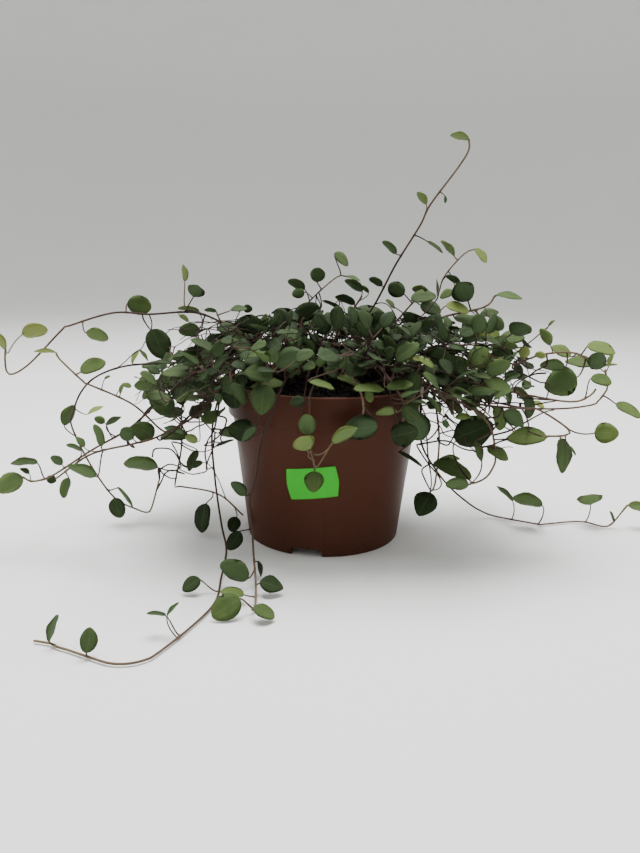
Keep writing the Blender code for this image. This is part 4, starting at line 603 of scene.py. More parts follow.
def make_leaf(base, way, face, length, width, tone):
    """A leaf as a record: its blade's frame, its sizes, and points that stand for its surface."""
    way = unit(way)
    side = unit(np.cross(face, way))
    face = np.cross(way, side)
    leaf = dict(base=base, way=way, side=side, face=face, length=length, width=width, tone=tone)
    share, across = np.meshgrid(CLOUD_SHARES, CLOUD_ACROSS)
    leaf["cloud"] = blade_surface(leaf, share.ravel(), across.ravel())
    leaf["centre"] = leaf["cloud"].mean(axis=0)
    return leaf


print("greatest width at share", round(float(np.argmax(blade_half_width(np.linspace(0, 1, 101)))) / 100, 2))

# %% [markdown]
# ## Leaves as they show
# A leaf that shows narrow was rolled about its length, and one that shows short leans to or from the eye.
# From the places of its base and its tip, and the width that shows, its turn in space is worked out.

# %% A leaf from what shows of it
MOST_LEANT = 1.9  # a leaf is at most this many times as long as it shows
MOST_ROLLED = 2.6  # and at most this many times as wide
NARROWEST = 0.42  # width to length of the narrowest leaf


def seen_leaf(place, near, flip):
    """A leaf from what shows of it, leaning to or from the eye as flip says."""
    base_across, base_up, tip_across, tip_up, width_seen, tone = place
    base = seen(base_across, base_up, near)
    scale = (near + EYE[1]) / EYE[1]
    along = seen(tip_across, tip_up, near) - base
    length_seen = np.linalg.norm(along)
    width_seen = width_seen * scale
    sight = unit(base - EYE)
    flat = unit(along - (along @ sight) * sight)
    if width_seen > LEAF_PROPORTION * length_seen:
        width = width_seen
        length = min(width_seen / LEAF_PROPORTION, MOST_LEANT * length_seen)
        lean = math.acos(min(length_seen / length, 1.0))
        roll = 0.0
    else:
        length = length_seen
        width = min(LEAF_PROPORTION * length_seen, max(MOST_ROLLED * width_seen,
                                                        NARROWEST * length_seen))
        lean = 0.0
        roll = math.acos(min(width_seen / width, 1.0))
    way = flat * math.cos(lean) + flip * sight * math.sin(lean)
    across = unit(np.cross(sight, flat))
    side = across * math.cos(roll) + flip * sight * math.sin(roll)
    face = unit(np.cross(way, side))
    if face[2] < 0:
        face = -face
    return make_leaf(base, way, face, length, width, tone)


# %% [markdown]
# ## Room for every leaf
# Leaves in a thicket lie over and under each other but don't cut through each other. A thicket keeps what
# stands already, and a new leaf is kept only where it and its stalk clear all of it.

# %% The thicket
BLADE_MARGIN = 0.9  # how far past its edges a blade still keeps points away
BLADE_ENDS = (0.06, 0.94)
WOOD_STEP = 1.5
STALK_STEP = 1.2
ROOT_SHARES = (0.07, 0.28)  # the least share off a line's points where a stalk starts, and its spread
SCATTER = 7.31  # turns a leaf's place into a number that differs from leaf to leaf
STRAIGHT = 0.4  # a stalk may be straight if its leaf's way is at least this much its own
BEND_SHARE = 0.4  # where a stalk bends, in its length from the blade
BEND_MOST = 3.5
OWN_STALK = 1.3  # so near to its base a stalk may touch its own blade
POT_MARGIN = 0.9
MOVED_LEAST = 0.01
OWN_STEM = 2.5  # so near to its root a stalk's own stem may touch the blade
OWN_EASE = 0.2  # how much closer its own stem may come
STALK_SPACE = 0.7
SAME_STEM_GAP, OTHER_GAP = 1.3, 2.0  # gaps between blades, in the gap to wood
SEARCH_SPARE = 2.0
BLADE_SEARCH = 10.0


def off_blade(leaf, points, gap):
    """True where every point is gap or more from the blade's middle sheet."""
    local = points - leaf["base"]
    along = local @ leaf["way"]
    side = local @ leaf["side"]
    height = local @ leaf["face"]
    share = np.clip(along / leaf["length"], 0.0, 1.0)
    inside = (along > -BLADE_MARGIN) & (along < leaf["length"] + BLADE_MARGIN)
    inside &= np.abs(side) < blade_half_width(np.clip(share, *BLADE_ENDS)) * leaf["width"] + BLADE_MARGIN
    return not np.any(inside & (np.abs(height - sheet_height(leaf, share, side)) < gap))


def along_segments(points, step):
    """Points spaced by about step along a chain of points."""
    chain = []
    for start, end in zip(points, points[1:]):
        count = max(1, int(np.linalg.norm(end - start) / step))
        chain.extend(start + (end - start) * k / count for k in range(count))
    chain.append(points[-1])
    return np.array(chain)


class Thicket:
    """What has been placed so far. Stems and stalks are kept as wood: points with a radius and the
    number of the stem that they belong to."""

    def __init__(self, lines):
        self.lines = lines
        self.number = {name: index for index, name in enumerate(lines)}
        chains = [along_segments(line, WOOD_STEP) for line in lines.values()]
        self.wood = np.vstack(chains)
        self.radius = np.full(len(self.wood), STEM_THICK)
        self.owner = np.repeat(np.arange(len(chains)), [len(chain) for chain in chains])
        self.leaves = []
        self.centres = np.zeros((0, 3))

    def attach(self, name, leaf):
        """Where a leaf's stalk starts on its stem: a near place past the foot, rather behind the
        blade than in front of it, and off the line's points by a share that differs by leaf."""
        line = self.lines[name][1:]
        start, end = line[:-1], line[1:]
        run = end - start
        off = ROOT_SHARES[0] + ROOT_SHARES[1] * (abs(leaf["base"].sum()) * SCATTER % 1.0)
        share = np.clip(((leaf["base"] - start) * run).sum(1) / (run * run).sum(1), off, 1.0 - off)
        feet = start + run * share[:, None]
        ahead = np.maximum((feet - leaf["base"]) @ leaf["way"], 0.0)
        best = np.argmin(np.linalg.norm(feet - leaf["base"], axis=1) + AHEAD_COST * ahead)
        return feet[best]

    def stalk(self, name, leaf):
        """The stalk: from its root to the blade's base, straight if it is short and points the
        blade's way, and else with a bend that turns it to the blade's way. One that comes from in
        front of the blade passes below or above it."""
        root = self.attach(name, leaf)
        run = leaf["base"] - root
        length = np.linalg.norm(run)
        if length < SHORTEST_STALK:
            return np.array([leaf["base"] - leaf["way"] * SHORTEST_STALK, leaf["base"]])
        if length < STALK_BEND and run @ leaf["way"] > STRAIGHT * length:
            return np.array([root, leaf["base"]])
        bend = leaf["base"] - leaf["way"] * min(max(BEND_SHARE * length, SHORTEST_STALK), BEND_MOST)
        if run @ leaf["way"] < 0:
            bend = bend - leaf["face"] * math.copysign(SHORTEST_STALK, run @ leaf["face"])
        return np.array([root, bend, leaf["base"]])

    def clears(self, name, leaf, stalk):
        """True if the leaf and its stalk keep clear of the pot, the surface and all that stands."""
        path = along_segments(stalk, STALK_STEP)
        if leaf["cloud"][:, 2].min() < LEAF_LOWEST:
            return False
        behind = path[np.linalg.norm(path - leaf["base"], axis=1) > OWN_STALK]
        if not off_blade(leaf, behind, BLADE_GAP):
            return False
        for point in np.vstack([leaf["cloud"], path]):
            if np.linalg.norm(clear_of_pot(point, POT_MARGIN) - point) > MOVED_LEAST:
                return False
        reach = leaf["length"] + SEARCH_SPARE + np.linalg.norm(stalk[0] - leaf["base"])
        near = np.linalg.norm(self.wood - leaf["centre"], axis=1) < reach
        wood, radius = self.wood[near], self.radius[near]
        own = self.owner[near] == self.number[name]
        away = ~own | (np.linalg.norm(wood - stalk[0], axis=1) > OWN_STEM)
        gap = BLADE_GAP + radius - np.where(own, OWN_EASE, 0.0)
        if not off_blade(leaf, wood[away], gap[away]):
            return False
        if not own.all():
            spaces = np.linalg.norm(wood[~own][:, None] - path[None], axis=2)
            if (spaces - radius[~own][:, None]).min() < STALK_RADIUS + STALK_SPACE:
                return False
        apart = np.linalg.norm(self.centres - leaf["centre"], axis=1)
        for index in np.where(apart < reach + BLADE_SEARCH)[0]:
            owner, other = self.leaves[index][:2]
            gap = BLADE_GAP * (SAME_STEM_GAP if owner == name else OTHER_GAP)
            if not off_blade(other, leaf["cloud"], gap) or not off_blade(leaf, other["cloud"], gap):
                return False
            if not off_blade(other, path, BLADE_GAP + STALK_RADIUS):
                return False
        return True

    def keep(self, name, leaf, stalk):
        """Adds the leaf and its stalk to what stands."""
        path = along_segments(stalk, STALK_STEP)
        self.leaves.append((name, leaf, stalk))
        self.centres = np.vstack([self.centres, leaf["centre"]])
        self.wood = np.vstack([self.wood, path[1:]])
        self.radius = np.append(self.radius, np.full(len(path) - 1, STALK_RADIUS))
        self.owner = np.append(self.owner, np.full(len(path) - 1, self.number[name]))


# %% [markdown]
# ## Placing the leaves
# The leaves that were read from the front are placed first. Then each stem gets leaves by turns on its two
# sides, as they grow, with sizes and turns drawn at random from a fixed seed, so that every run is alike.

# %% Leaves on their stems
OUTLINE_LEFT, OUTLINE_RIGHT = -98.0, 108.0
OUTLINE_TOP = 118.0
OUTLINE_TURN = -30.0  # left of this the top falls
OUTLINE_SLOPE = 0.45
POT_HALF = 44.0  # how far across the pot's front is kept bare
RIM_LOW = 88.0
SIDE_LOW = 50.0
FIRST_CROWN_LEAF = 6.0
SMALLER_TIP = 0.35  # how much smaller a stem's last leaf is
SMALLER_TRY = 0.035  # how much smaller a leaf is on each new try
TURN_LUCK = 0.7  # how far the next leaf's turn is off the other side, in radians
ANGLE_LUCK = (0.4, 0.25)  # how far a try is off that turn, and how much more on each new try
LEAF_ALONG, LEAF_OUT, WAY_LUCK = 0.35, 0.25, 0.35  # what a leaf's way leans to
NEARLY_UP = (0.1, 0.2, 1.0)  # a direction that no stem runs along
OUTWARD_UP = 20.0  # how much the outward direction rises
BASE_OUT = 0.4
BASE_OFF = (4.0, 10.0)  # how far a leaf's base stands off its stem
FACE_UP, FACE_OUT, FACE_LUCK = 0.75, 0.45, 0.4  # what a leaf's face leans to
UPRIGHT = 0.93  # a face closer than this to the leaf's way is drawn anew
TONE_LOW, TONE_TIP, TONE_DRAWS = 0.12, 0.5, (-0.12, 0.3)  # older near the foot, younger at the tip
LEAF_WIDTHS = (0.78, 0.95)


def add_seen_leaves(thicket, missed):
    """The leaves that were read from the front. Where one does not clear, it is tried nearer and
    farther on its sight line, and leaning the other way."""
    for name, (places, seen_leaves) in VINES.items():
        route = np.array([seen(*place) for place in places])
        flat = np.array([place[:2] for place in places], float)
        for place in seen_leaves:
            nearest = np.argmin(np.linalg.norm(flat - np.array(place[:2]), axis=1))
            depth = -route[nearest][1]
            for shift in DEPTH_TRIES:
                leaf = seen_leaf(place, depth + shift, 1.0 if shift % 2 else -1.0)
                stalk = thicket.stalk(name, leaf)
                if thicket.clears(name, leaf, stalk):
                    thicket.keep(name, leaf, stalk)
                    break
            else:
                missed.append((name, place))


def in_outline(centre):
    """True if a drawn leaf at centre shows inside the mound as the eye sees it."""
    across, up = shown_places(centre[None])[0]
    top = OUTLINE_TOP + min(across - OUTLINE_TURN, 0.0) * OUTLINE_SLOPE
    low = RIM_LOW if abs(across) < POT_HALF else SIDE_LOW
    return OUTLINE_LEFT < across < OUTLINE_RIGHT and low < up < top


def add_drawn_leaves(thicket, name, line, draw):
    """Leaves set by turns on the two sides of a stem, facing up and outwards, smaller at its tip.
    Each is drawn anew until it clears, and left out if none of the draws does."""
    samples = along_segments(line[1:], 1.0)
    first = FIRST_LEAF if name.startswith("mound") else FIRST_CROWN_LEAF
    last = len(samples) - 1 if name.startswith("mound") else CROWN_RUN
    station = first
    turn = draw.uniform(0, 2 * math.pi)
    while station < min(last, len(samples) - 2):
        here = samples[int(station)]
        along = unit(samples[int(station) + 1] - samples[int(station) - 1])
        share = station / len(samples)
        turn += math.pi + draw.uniform(-TURN_LUCK, TURN_LUCK)
        for trial in range(LEAF_TRIES):
            size = draw.uniform(*LEAF_SIZES) * (1.0 - SMALLER_TIP * share ** 2) * (1.0 - SMALLER_TRY * trial)
            angle = turn + draw.uniform(-ANGLE_LUCK[0], ANGLE_LUCK[0]) * (1 + ANGLE_LUCK[1] * trial)
            across = unit(np.cross(along, NEARLY_UP))
            above = np.cross(across, along)
            out = across * math.cos(angle) + above * math.sin(angle)
            outward = unit(np.array([here[0], here[1], OUTWARD_UP]))
            way = unit(out + LEAF_ALONG * along + LEAF_OUT * outward
                       + draw.uniform(-WAY_LUCK, WAY_LUCK, 3))
            base = here + unit(out + BASE_OUT * outward) * draw.uniform(*BASE_OFF)
            face = unit(FACE_UP * np.array([0, 0, 1.0]) + FACE_OUT * outward
                        + draw.uniform(-FACE_LUCK, FACE_LUCK, 3))
            if abs(face @ way) > UPRIGHT:
                continue
            tone = float(np.clip(TONE_LOW + TONE_TIP * share ** 3 + draw.uniform(*TONE_DRAWS), 0, 1))
            leaf = make_leaf(base, way, face - (face @ way) * way, size,
                             size * draw.uniform(*LEAF_WIDTHS), tone)
            if not in_outline(leaf["centre"]):
                continue
            stalk = thicket.stalk(name, leaf)
            if thicket.clears(name, leaf, stalk):
                thicket.keep(name, leaf, stalk)
                break
        station += draw.uniform(*LEAF_SPACING)


def planned_plant():
    """The stems' centre lines and all leaves, each as (stem's name, leaf, stalk)."""
    draw = np.random.default_rng(SEED)
    lines = bend_clear(planned_routes(draw))
    thicket = Thicket(lines)
    missed = []
    add_seen_leaves(thicket, missed)
    for name, line in lines.items():
        add_drawn_leaves(thicket, name, line, draw)
    return lines, thicket.leaves, missed


lines, leaves, missed = planned_plant()
print("stems:", len(lines), "leaves:", len(leaves), "not placed:", len(missed))

# %% [markdown]
# ## Leaves that overlap
# Two leaves hang at the front where it shows which one is in front. Each solid leaf stands where it has
# room, so the fine ones are moved a little on their sight lines until they overlap as they do to the eye.

# %% Moved along the sight line
OVERLAPS = [("front_right", 4, 5.0), ("front_sprig", 0, -4.0)]  # the stem, its leaf, and how far away


def moved(leaf, farther):
    """The leaf moved away from the eye."""
    shift = unit(leaf["base"] - EYE) * farther
    return dict(leaf, base=leaf["base"] + shift, cloud=leaf["cloud"] + shift,
                centre=leaf["centre"] + shift)


for owner, count, farther in OVERLAPS:
    index = [k for k, item in enumerate(leaves) if item[0] == owner][count]
    leaves[index] = (owner, moved(leaves[index][1], farther), leaves[index][2])
print("leaves moved:", len(OVERLAPS))

# %% [markdown]
# ## Runners
# On both sides of the pot bare thin stems hang in loops and cross each other. They are far too thin to be
# solids, so they are drawn here only, under the stem that they grow with. Each is a list of places
# across and up as they show from the front. It joins the stems beside its ends, and is as near as they are.

# %% The thin bare stems
RUNNERS = {
    "left_kink": [
        [(-57, 71), (-58, 64), (-60, 55.5), (-63.5, 49.5), (-65, 43), (-64.5, 37), (-64.5, 32.5),
         (-68.5, 31), (-73, 30.5), (-77, 32)],
        [(-59.5, 54.5), (-60.5, 46), (-63.5, 38.5), (-64.5, 33.5)],
        [(-94, 40), (-93, 44), (-89.5, 45), (-84, 44.5), (-81, 41.5), (-78.5, 37), (-74.5, 34)],
        [(-90, 32.5), (-87, 35), (-84, 36), (-79, 34.5)],
        [(-92, 21.5), (-89, 27), (-87.5, 30.5), (-84, 32.5), (-80.5, 32), (-76.5, 30.5)],
        [(-91, 33.5), (-88.5, 30.5), (-84.5, 28), (-81, 28)],
        [(-83, 48.5), (-81, 44), (-79, 38.5), (-78.5, 34)],
    ],
    "left_riser": [
        [(-79.5, 66), (-78, 61.5), (-74.5, 60), (-70, 60), (-64.5, 60.5), (-61.5, 64), (-57.5, 66)],
        [(-89.5, 49.5), (-83, 53.5), (-78.5, 57.5), (-74, 60.5), (-69.5, 65), (-65.5, 70.5)],
        [(-87, 79), (-90.5, 73.5), (-92.5, 69), (-95, 64.5)],
        [(-107.5, 49.5), (-105.5, 46), (-103.5, 45)],
        [(-55.5, 55.5), (-56.5, 51), (-56, 48.5)],
    ],
    "left_tuft_upper": [
        [(-99.5, 61), (-94.5, 67.5), (-88.5, 70.5), (-82.5, 75), (-77, 79), (-71, 83), (-67, 86.5)],
        [(-85, 72.5), (-83, 69.5), (-79.5, 67), (-76, 65.5)],
    ],
    "left_tuft_lower": [
        [(-73, 55), (-69, 57.5), (-65, 59), (-61, 63)],
        [(-71.5, 67.5), (-65.5, 70.5), (-60, 71.5), (-57, 73)],
        [(-53.5, 62.5), (-53.5, 59), (-55.5, 54.5), (-60, 50), (-65.5, 47)],
    ],
    "right_drop": [
        [(52, 49.5), (57.5, 50.5), (63, 51.5), (68.5, 51), (74, 48), (78.5, 46.5), (82.5, 46), (86, 42),
         (86.5, 36.5), (85, 32), (82.5, 28.5)],
        [(61.5, 53), (63, 50.5), (67, 49), (68.5, 50.5), (70, 53.5), (70.5, 57.5)],
        [(55.5, 53.5), (56.5, 46), (57.5, 39.5), (59, 32), (59.5, 26.5), (59, 23)],
        [(50.5, 49), (54, 43), (58.5, 37), (62.5, 32.5), (64.5, 29), (65, 26.5), (63.5, 24), (59.5, 23)],
        [(54, 35), (56, 29), (59, 23.5)],
    ],
    "right_hang": [
        [(60.5, 80), (64.5, 75), (68, 70.5), (70.5, 66.5)],
        [(94, 62), (91, 57.5), (87.5, 51.5), (85.5, 48.5)],
        [(82, 45.5), (86, 48), (91.5, 49.5), (95.5, 51.5), (100, 53)],
    ],
    "right_middle_front": [
        [(70.5, 80), (75.5, 77), (80.5, 74), (87, 73), (91.5, 72.5), (97, 73), (105, 73)],
        [(84.5, 82.5), (87, 77), (88.5, 72), (88.5, 67.5)],
        [(85.5, 88.5), (86, 80), (86.5, 73.5), (86.5, 68)],
    ],
    "right_loop": [
        [(77.5, 80), (80.5, 74.5), (84.5, 70), (89.5, 65.5), (93.5, 63), (98, 59.5), (102.5, 57.5)],
        [(88, 72.5), (92, 69), (96.5, 64.5), (100.5, 61), (103.5, 58)],
        [(89.5, 65), (93, 65), (95, 67.5), (95.5, 70)],
        [(100, 57.5), (105, 60.5), (109.5, 63), (113.5, 65.5), (119, 68.5), (123.5, 69.5)],
        [(105, 71.5), (108.5, 66.5), (110.5, 61), (111, 57.5)],
    ],
    "right_upper": [
        [(117.5, 94), (112.5, 91), (108, 87.5), (101.5, 84.5)],
        [(99.5, 92), (103.5, 90), (109.5, 87), (115, 84.5), (120, 83.5)],
        [(117.5, 89.5), (112, 89), (106.5, 86.5), (102, 82.5)],
    ],
    "right_middle_back": [
        [(105, 73), (110.5, 72), (118.5, 73.5), (124, 74.5)],
        [(103.5, 76), (112.5, 75.5), (121, 75)],
    ],
}
FREE_ENDS = {3: 16, 25: 46, 29: 42, 30: 38, 36: 22}  # how near a free end stands, by its runner's number

RUNNER_JOIN = 9.0  # how far an end may show from the stem that it is joined to
RUNNER_STEP = 1.2
STEM_STEP = 2.0  # how finely the stems are searched for the one beside an end


def stem_beside(place, stems):
    """The stem point that shows nearest to a place, as a list of one, or none if that is too far."""
    apart = np.linalg.norm(shown_places(stems) - place, axis=1)
    return [stems[apart.argmin()]] if apart.min() < RUNNER_JOIN else []


def runner_course(near, places, stems):
    """A runner's smooth curve. It joins the stems beside its ends and stands as near as they do; near
    is for an end that has none."""
    first, last = stem_beside(places[0], stems), stem_beside(places[-1], stems)
    start, end = (-stem[0][1] if stem else near for stem in (first, last))
    depths = np.linspace(start, end, len(places))
    return smooth_curve(first + [seen(*place, depth) for place, depth in zip(places, depths)] + last,
                        RUNNER_STEP)


drawn_stems = np.vstack([smooth_curve(line, STEM_STEP) for name, line in lines.items()
                         if not name.startswith("mound")])
runners = [(owner, places) for owner, group in RUNNERS.items() for places in group]
print("runners:", len(runners))

# %% [markdown]
# ## Twigs
# Between the main stems the real plant is a tangle of side shoots, as thin as thread and too thin for
# solids. Each twig starts on a stem and wanders: every step keeps most of the last step's way, with a
# little chance, a little pull outwards and a little weight.

# %% Side shoots
TWIG_COUNT = 190
TWIG_STEP = 2.2
TWIG_LENGTH = (18.0, 66.0)
TWIG_WANDER = 0.20
TWIG_FALL = (0.02, 0.13)
TWIG_SEED = 41
TWIG_PATH_STEP = 3.0  # a twig may start at points of its stem this far apart
TWIG_FURTHEST = 28  # at most this many of them from the crown
TWIG_STEM_HIGH = 95  # and only on a stem that climbs this high
TWIG_OUTSET = 0.8  # how much a twig starts outwards
TWIG_OUTWARD = 0.07  # how strongly each step is drawn outwards
TWIG_CLEAR = 0.7
THICKET_LEFT, THICKET_RIGHT = -118.0, 128.0
THICKET_TOP = 124.0
TOP_MIDDLE = -5.0
TOP_SLOPE = 0.16
THICKET_LOW = 86.0
SHOULDER_START = 48.0  # beyond the pot the thicket reaches lower
SHOULDER_SLOPE = 1.4
SHOULDER_DROP = 42.0
TWIST_STEP = 0.8

# The second stem of the front sprig leaves its right-hand leaf and curls around the first one, down to
# the leaf in front of the label.
SPRIG_TWIST = [(4.3, 49.3, 58.5), (2.6, 46.4, 59.5), (0.6, 42.8, 59.8), (-1.8, 38.6, 59.5),
               (-3.9, 35.6, 58.8), (-5.6, 37.4, 59.4), (-5.2, 39.3, 60.0), (-7.0, 40.2, 60.0),
               (-8.6, 41.6, 59.6), (-8.2, 43.6, 59.4), (-9.4, 45.4, 59.0)]


def in_thicket(point):
    """True if a point shows, from the front, inside the thicket with its two shoulders."""
    across, up = shown_places(point[None])[0]
    top = THICKET_TOP - TOP_SLOPE * abs(across - TOP_MIDDLE)
    low = THICKET_LOW - min(SHOULDER_SLOPE * max(abs(across) - SHOULDER_START, 0.0), SHOULDER_DROP)
    return THICKET_LEFT < across < THICKET_RIGHT and low < up < top


def twig_course(start, way, length, draw):
    """A twig's points: each step turns a little at random, is drawn outwards and sinks."""
    points = [start]
    fall = np.array([0.0, 0.0, draw.uniform(*TWIG_FALL)])
    for _ in range(int(length / TWIG_STEP)):
        outward = unit(np.array([points[-1][0], points[-1][1] + 0.1, 0.0]))
        way = unit(way + draw.normal(0.0, TWIG_WANDER, 3) + TWIG_OUTWARD * outward - fall)
        points.append(clear_of_pot(points[-1] + way * TWIG_STEP, TWIG_CLEAR))
    return np.array(points)


def grown_twigs(lines):
    """Twigs by name, and the stem that each grows on. A twig that leaves the thicket is drawn anew."""
    draw = np.random.default_rng(TWIG_SEED)
    names = [name for name, line in lines.items() if line[:, 2].max() > TWIG_STEM_HIGH]
    courses, owners = {}, {}
    while len(courses) < TWIG_COUNT:
        name = names[draw.integers(len(names))]
        path = smooth_curve(lines[name][1:], TWIG_PATH_STEP)
        start = path[draw.integers(2, max(3, min(len(path) - 1, TWIG_FURTHEST)))]
        way = unit(draw.normal(0.0, 1.0, 3) + TWIG_OUTSET * unit(start * np.array([1, 1, 0.1])))
        course = twig_course(start, way, draw.uniform(*TWIG_LENGTH), draw)
        if in_thicket(course[-1]) and in_thicket(course[len(course) // 2]):
            twig = f"mound_twig_{len(courses) + 1:03d}"
            courses[twig], owners[twig] = course, name
    return courses, owners


twigs, twig_owner = grown_twigs(lines)
twigs["front_twist"] = smooth_curve([seen(*place) for place in SPRIG_TWIST], TWIST_STEP)
twig_owner["front_twist"] = "front_sprig"
for number, (owner, places) in enumerate(runners, 1):
    twigs[f"runner_{number:02d}"] = runner_course(FREE_ENDS.get(number), places, drawn_stems)
    twig_owner[f"runner_{number:02d}"] = owner
print("twigs:", len(twigs))

# %% [markdown]
# ## More leaves than the solids hold
# The mound is fuller than the solids can be, because each of their leaves costs triangles. The same rule
# runs over every twig and stem a few more times and fills the gaps, mostly with smaller leaves.

# %% A second growth of leaves
EXTRA_ROUNDS = 6
TWIG_ROUNDS = 3
EXTRA_SEED = 29
EXTRA_SHADE_TONE = 0.6  # these leaves stand deeper in the mound and are darkened, as painted shade
BACK_MOST = 71.0  # twigs and their leaves stand no farther back than the solids
LOOPS_START = 46.0  # the bare loops hang farther across than this
LOOPS_TOP = 71.0  # and lower than this
FEWEST_POINTS = 3


def out_of_place(leaf, stalk):
    """True if a leaf would show among the bare loops at the sides, or stand too far back."""
    across, up = shown_places(leaf["centre"][None])[0]
    among_loops = abs(across) > LOOPS_START and up < LOOPS_TOP
    return among_loops or max(leaf["centre"][1], stalk[0][1]) > BACK_MOST


def kept_forward(course):
    """A twig's course, cut off where it would stand too far back."""
    beyond = np.flatnonzero(course[:, 1] > BACK_MOST)
    return course[:max(beyond[0], FEWEST_POINTS)] if len(beyond) else course


def second_growth(lines, leaves, twigs):
    """More leaves by the same rule: on the twigs first, then on the stems of the mound and the crown."""
    draw = np.random.default_rng(EXTRA_SEED)
    thicket = Thicket({**lines, **twigs})
    thicket.radius[:] = STEM_THIN
    for name, leaf, stalk in leaves:
        thicket.keep(name, leaf, stalk)
    for _ in range(TWIG_ROUNDS):
        for name, course in twigs.items():
            if name.startswith("mound"):
                add_drawn_leaves(thicket, name, course, draw)
    for _ in range(EXTRA_ROUNDS):
        for name, line in lines.items():
            add_drawn_leaves(thicket, name, line, draw)
    return [item for item in thicket.leaves[len(leaves):] if not out_of_place(*item[1:])]


# The second growth's leaves are darkened, as painted shade deep in the mound.
extra = [(owner, dict(leaf, tone=leaf["tone"] * EXTRA_SHADE_TONE), stalk)
         for owner, leaf, stalk in second_growth(lines, leaves, twigs)]
twigs = {name: kept_forward(course) for name, course in twigs.items()}
print("extra leaves:", len(extra))

# %% [markdown]
# ## Meshes from arrays
# A mesh is filled from whole arrays at once: its points, its faces, and a few numbers at each point that
# the materials read later, such as how old a leaf is or how far along it a point lies.

# %% A mesh with numbers at its points
POT_PLACE = np.array([POT_ACROSS, POT_BACK, 0.0]) * MM  # in metres


def around(radius, turn, height):
    """Points at a radius, turn and height around the upright axis."""
    x, y, z = np.broadcast_arrays(radius * np.cos(turn), radius * np.sin(turn), height)
    return np.stack([x, y, z], axis=-1)


def placed(name, data):
    """A new object in the scene."""
    item = bpy.data.objects.new(name, data)
    bpy.context.scene.collection.objects.link(item)
    return item


def array_mesh(name, points, faces, numbers, slots=None):
    """A mesh of four-sided faces: points in millimetres around the pot, faces as rows of four places in
    points, numbers as one array a name, and slots as each face's material."""
    mesh = bpy.data.meshes.new(name)
    mesh.vertices.add(len(points))
    mesh.vertices.foreach_set("co", (points * MM + POT_PLACE).ravel())
    mesh.loops.add(faces.size)
    mesh.loops.foreach_set("vertex_index", faces.ravel())
    mesh.polygons.add(len(faces))
    mesh.polygons.foreach_set("loop_start", np.arange(len(faces)) * 4)
    mesh.polygons.foreach_set("loop_total", np.full(len(faces), 4))
    if slots is not None:
        mesh.polygons.foreach_set("material_index", slots)
    mesh.update(calc_edges=True)
    mesh.validate()
    for key, values in numbers.items():
        layer = mesh.attributes.new(key, "FLOAT", "POINT")
        layer.data.foreach_set("value", np.asarray(values, np.float32))
    mesh.shade_smooth()
    return mesh


def tube_faces(rings, sides):
    """Faces of a tube of rings of points, as rows of four, with both ends folded shut: an end's ring
    is closed by faces that join its two halves across."""
    ring, side = np.meshgrid(np.arange(rings - 1), np.arange(sides), indexing="ij")
    after = (side + 1) % sides
    wall = np.stack([ring * sides + side, ring * sides + after,
                     (ring + 1) * sides + after, (ring + 1) * sides + side], axis=-1).reshape(-1, 4)
    pairs = np.arange(sides // 2 - 1)
    start = np.stack([pairs, pairs + 1, sides - 2 - pairs, sides - 1 - pairs], axis=-1)[:, ::-1]
    end = start[:, ::-1] + (rings - 1) * sides
    return np.vstack([wall, start, end])


print("faces of a short tube:", len(tube_faces(3, 6)))

# %% [markdown]
# ## Frames that don't twist
# A tube needs two directions across its path at every point. They are carried along the path and turned
# only as much as the path turns, which keeps the tube's sides from winding around it.

# %% Frames along a path
def path_frames(path, across):
    """Two directions across a path at each of its points. The first is carried from point to point
    with its part along the path taken out."""
    along = np.gradient(path, axis=0)
    along /= np.linalg.norm(along, axis=1)[:, None]
    sides = np.empty_like(path)
    for index, way in enumerate(along):
        across = unit(across - (across @ way) * way)
        sides[index] = across
    return sides, np.cross(along, sides)


def tube_points(path, radius, sides, across):
    """A tube: at every point of the path a circle of its radius, in the path's two cross directions."""
    first, second = path_frames(path, across)
    turn = 2 * np.pi * np.arange(sides) / sides
    circle = np.cos(turn)[None, :, None] * first[:, None] + np.sin(turn)[None, :, None] * second[:, None]
    return (path[:, None] + radius[:, None, None] * circle).reshape(-1, 3)


print("frames ready")

# %% [markdown]
# ## Fine stems
# A wire vine's stems are as thin as wire and a little knotted where leaves grew. The fine stem runs on a
# smooth curve through the solid stem's points, thickens slightly at every knot, and thins to its tip.

# %% The stem's surface
FINE_STEM_SIDES = 8
FINE_STEM_STEP = 1.6
FIRST_SIDE = np.array([0.3, 0.9, 0.1])  # where a stem's first side points
KNOT_SWELL = 0.22
KNOT_REACH = 1.1
WIRE_SHARE = (0.62, 0.80)  # how thick the fine stem is at its foot and tip, in its solid's thickness
MOUND_WIRE = (0.55, 0.55)  # the same for a stem of the mound
SLENDER_WIRE = 0.75  # how much thinner a slender stem is again
TWIG_SIDES = 6
TWIG_WIRE = (0.33, 0.19)  # a twig's radius at its foot and tip
TWIST_WIRE = (0.42, 0.36)
RUNNER_WIRE = (0.48, 0.34)


def wire_part(path, wire, knots, youth, sides):
    """A stem's or twig's points, faces and ages. Its radius runs between the numbers of wire and
    swells at each knot; its age runs between those of youth."""
    share = np.linspace(0.0, 1.0, len(path))
    radius = wire[0] + (wire[1] - wire[0]) * share ** STEM_TAPER
    if len(knots):
        apart = np.linalg.norm(path[:, None] - np.array(knots)[None], axis=2).min(axis=1)
        radius = radius * (1.0 + KNOT_SWELL * np.exp(-(apart / KNOT_REACH) ** 2))
    points = tube_points(path, radius, sides, FIRST_SIDE)
    age = np.repeat(youth[0] + (youth[1] - youth[0]) * share, sides)
    return points, tube_faces(len(path), sides), age


print("stem sides:", FINE_STEM_SIDES)

# %% [markdown]
# ## Fine stalks
# Each leaf hangs on a thread of a stalk that leaves the stem and turns into the leaf's middle rib. Its
# course is a cubic curve with a given start, end and direction at each.

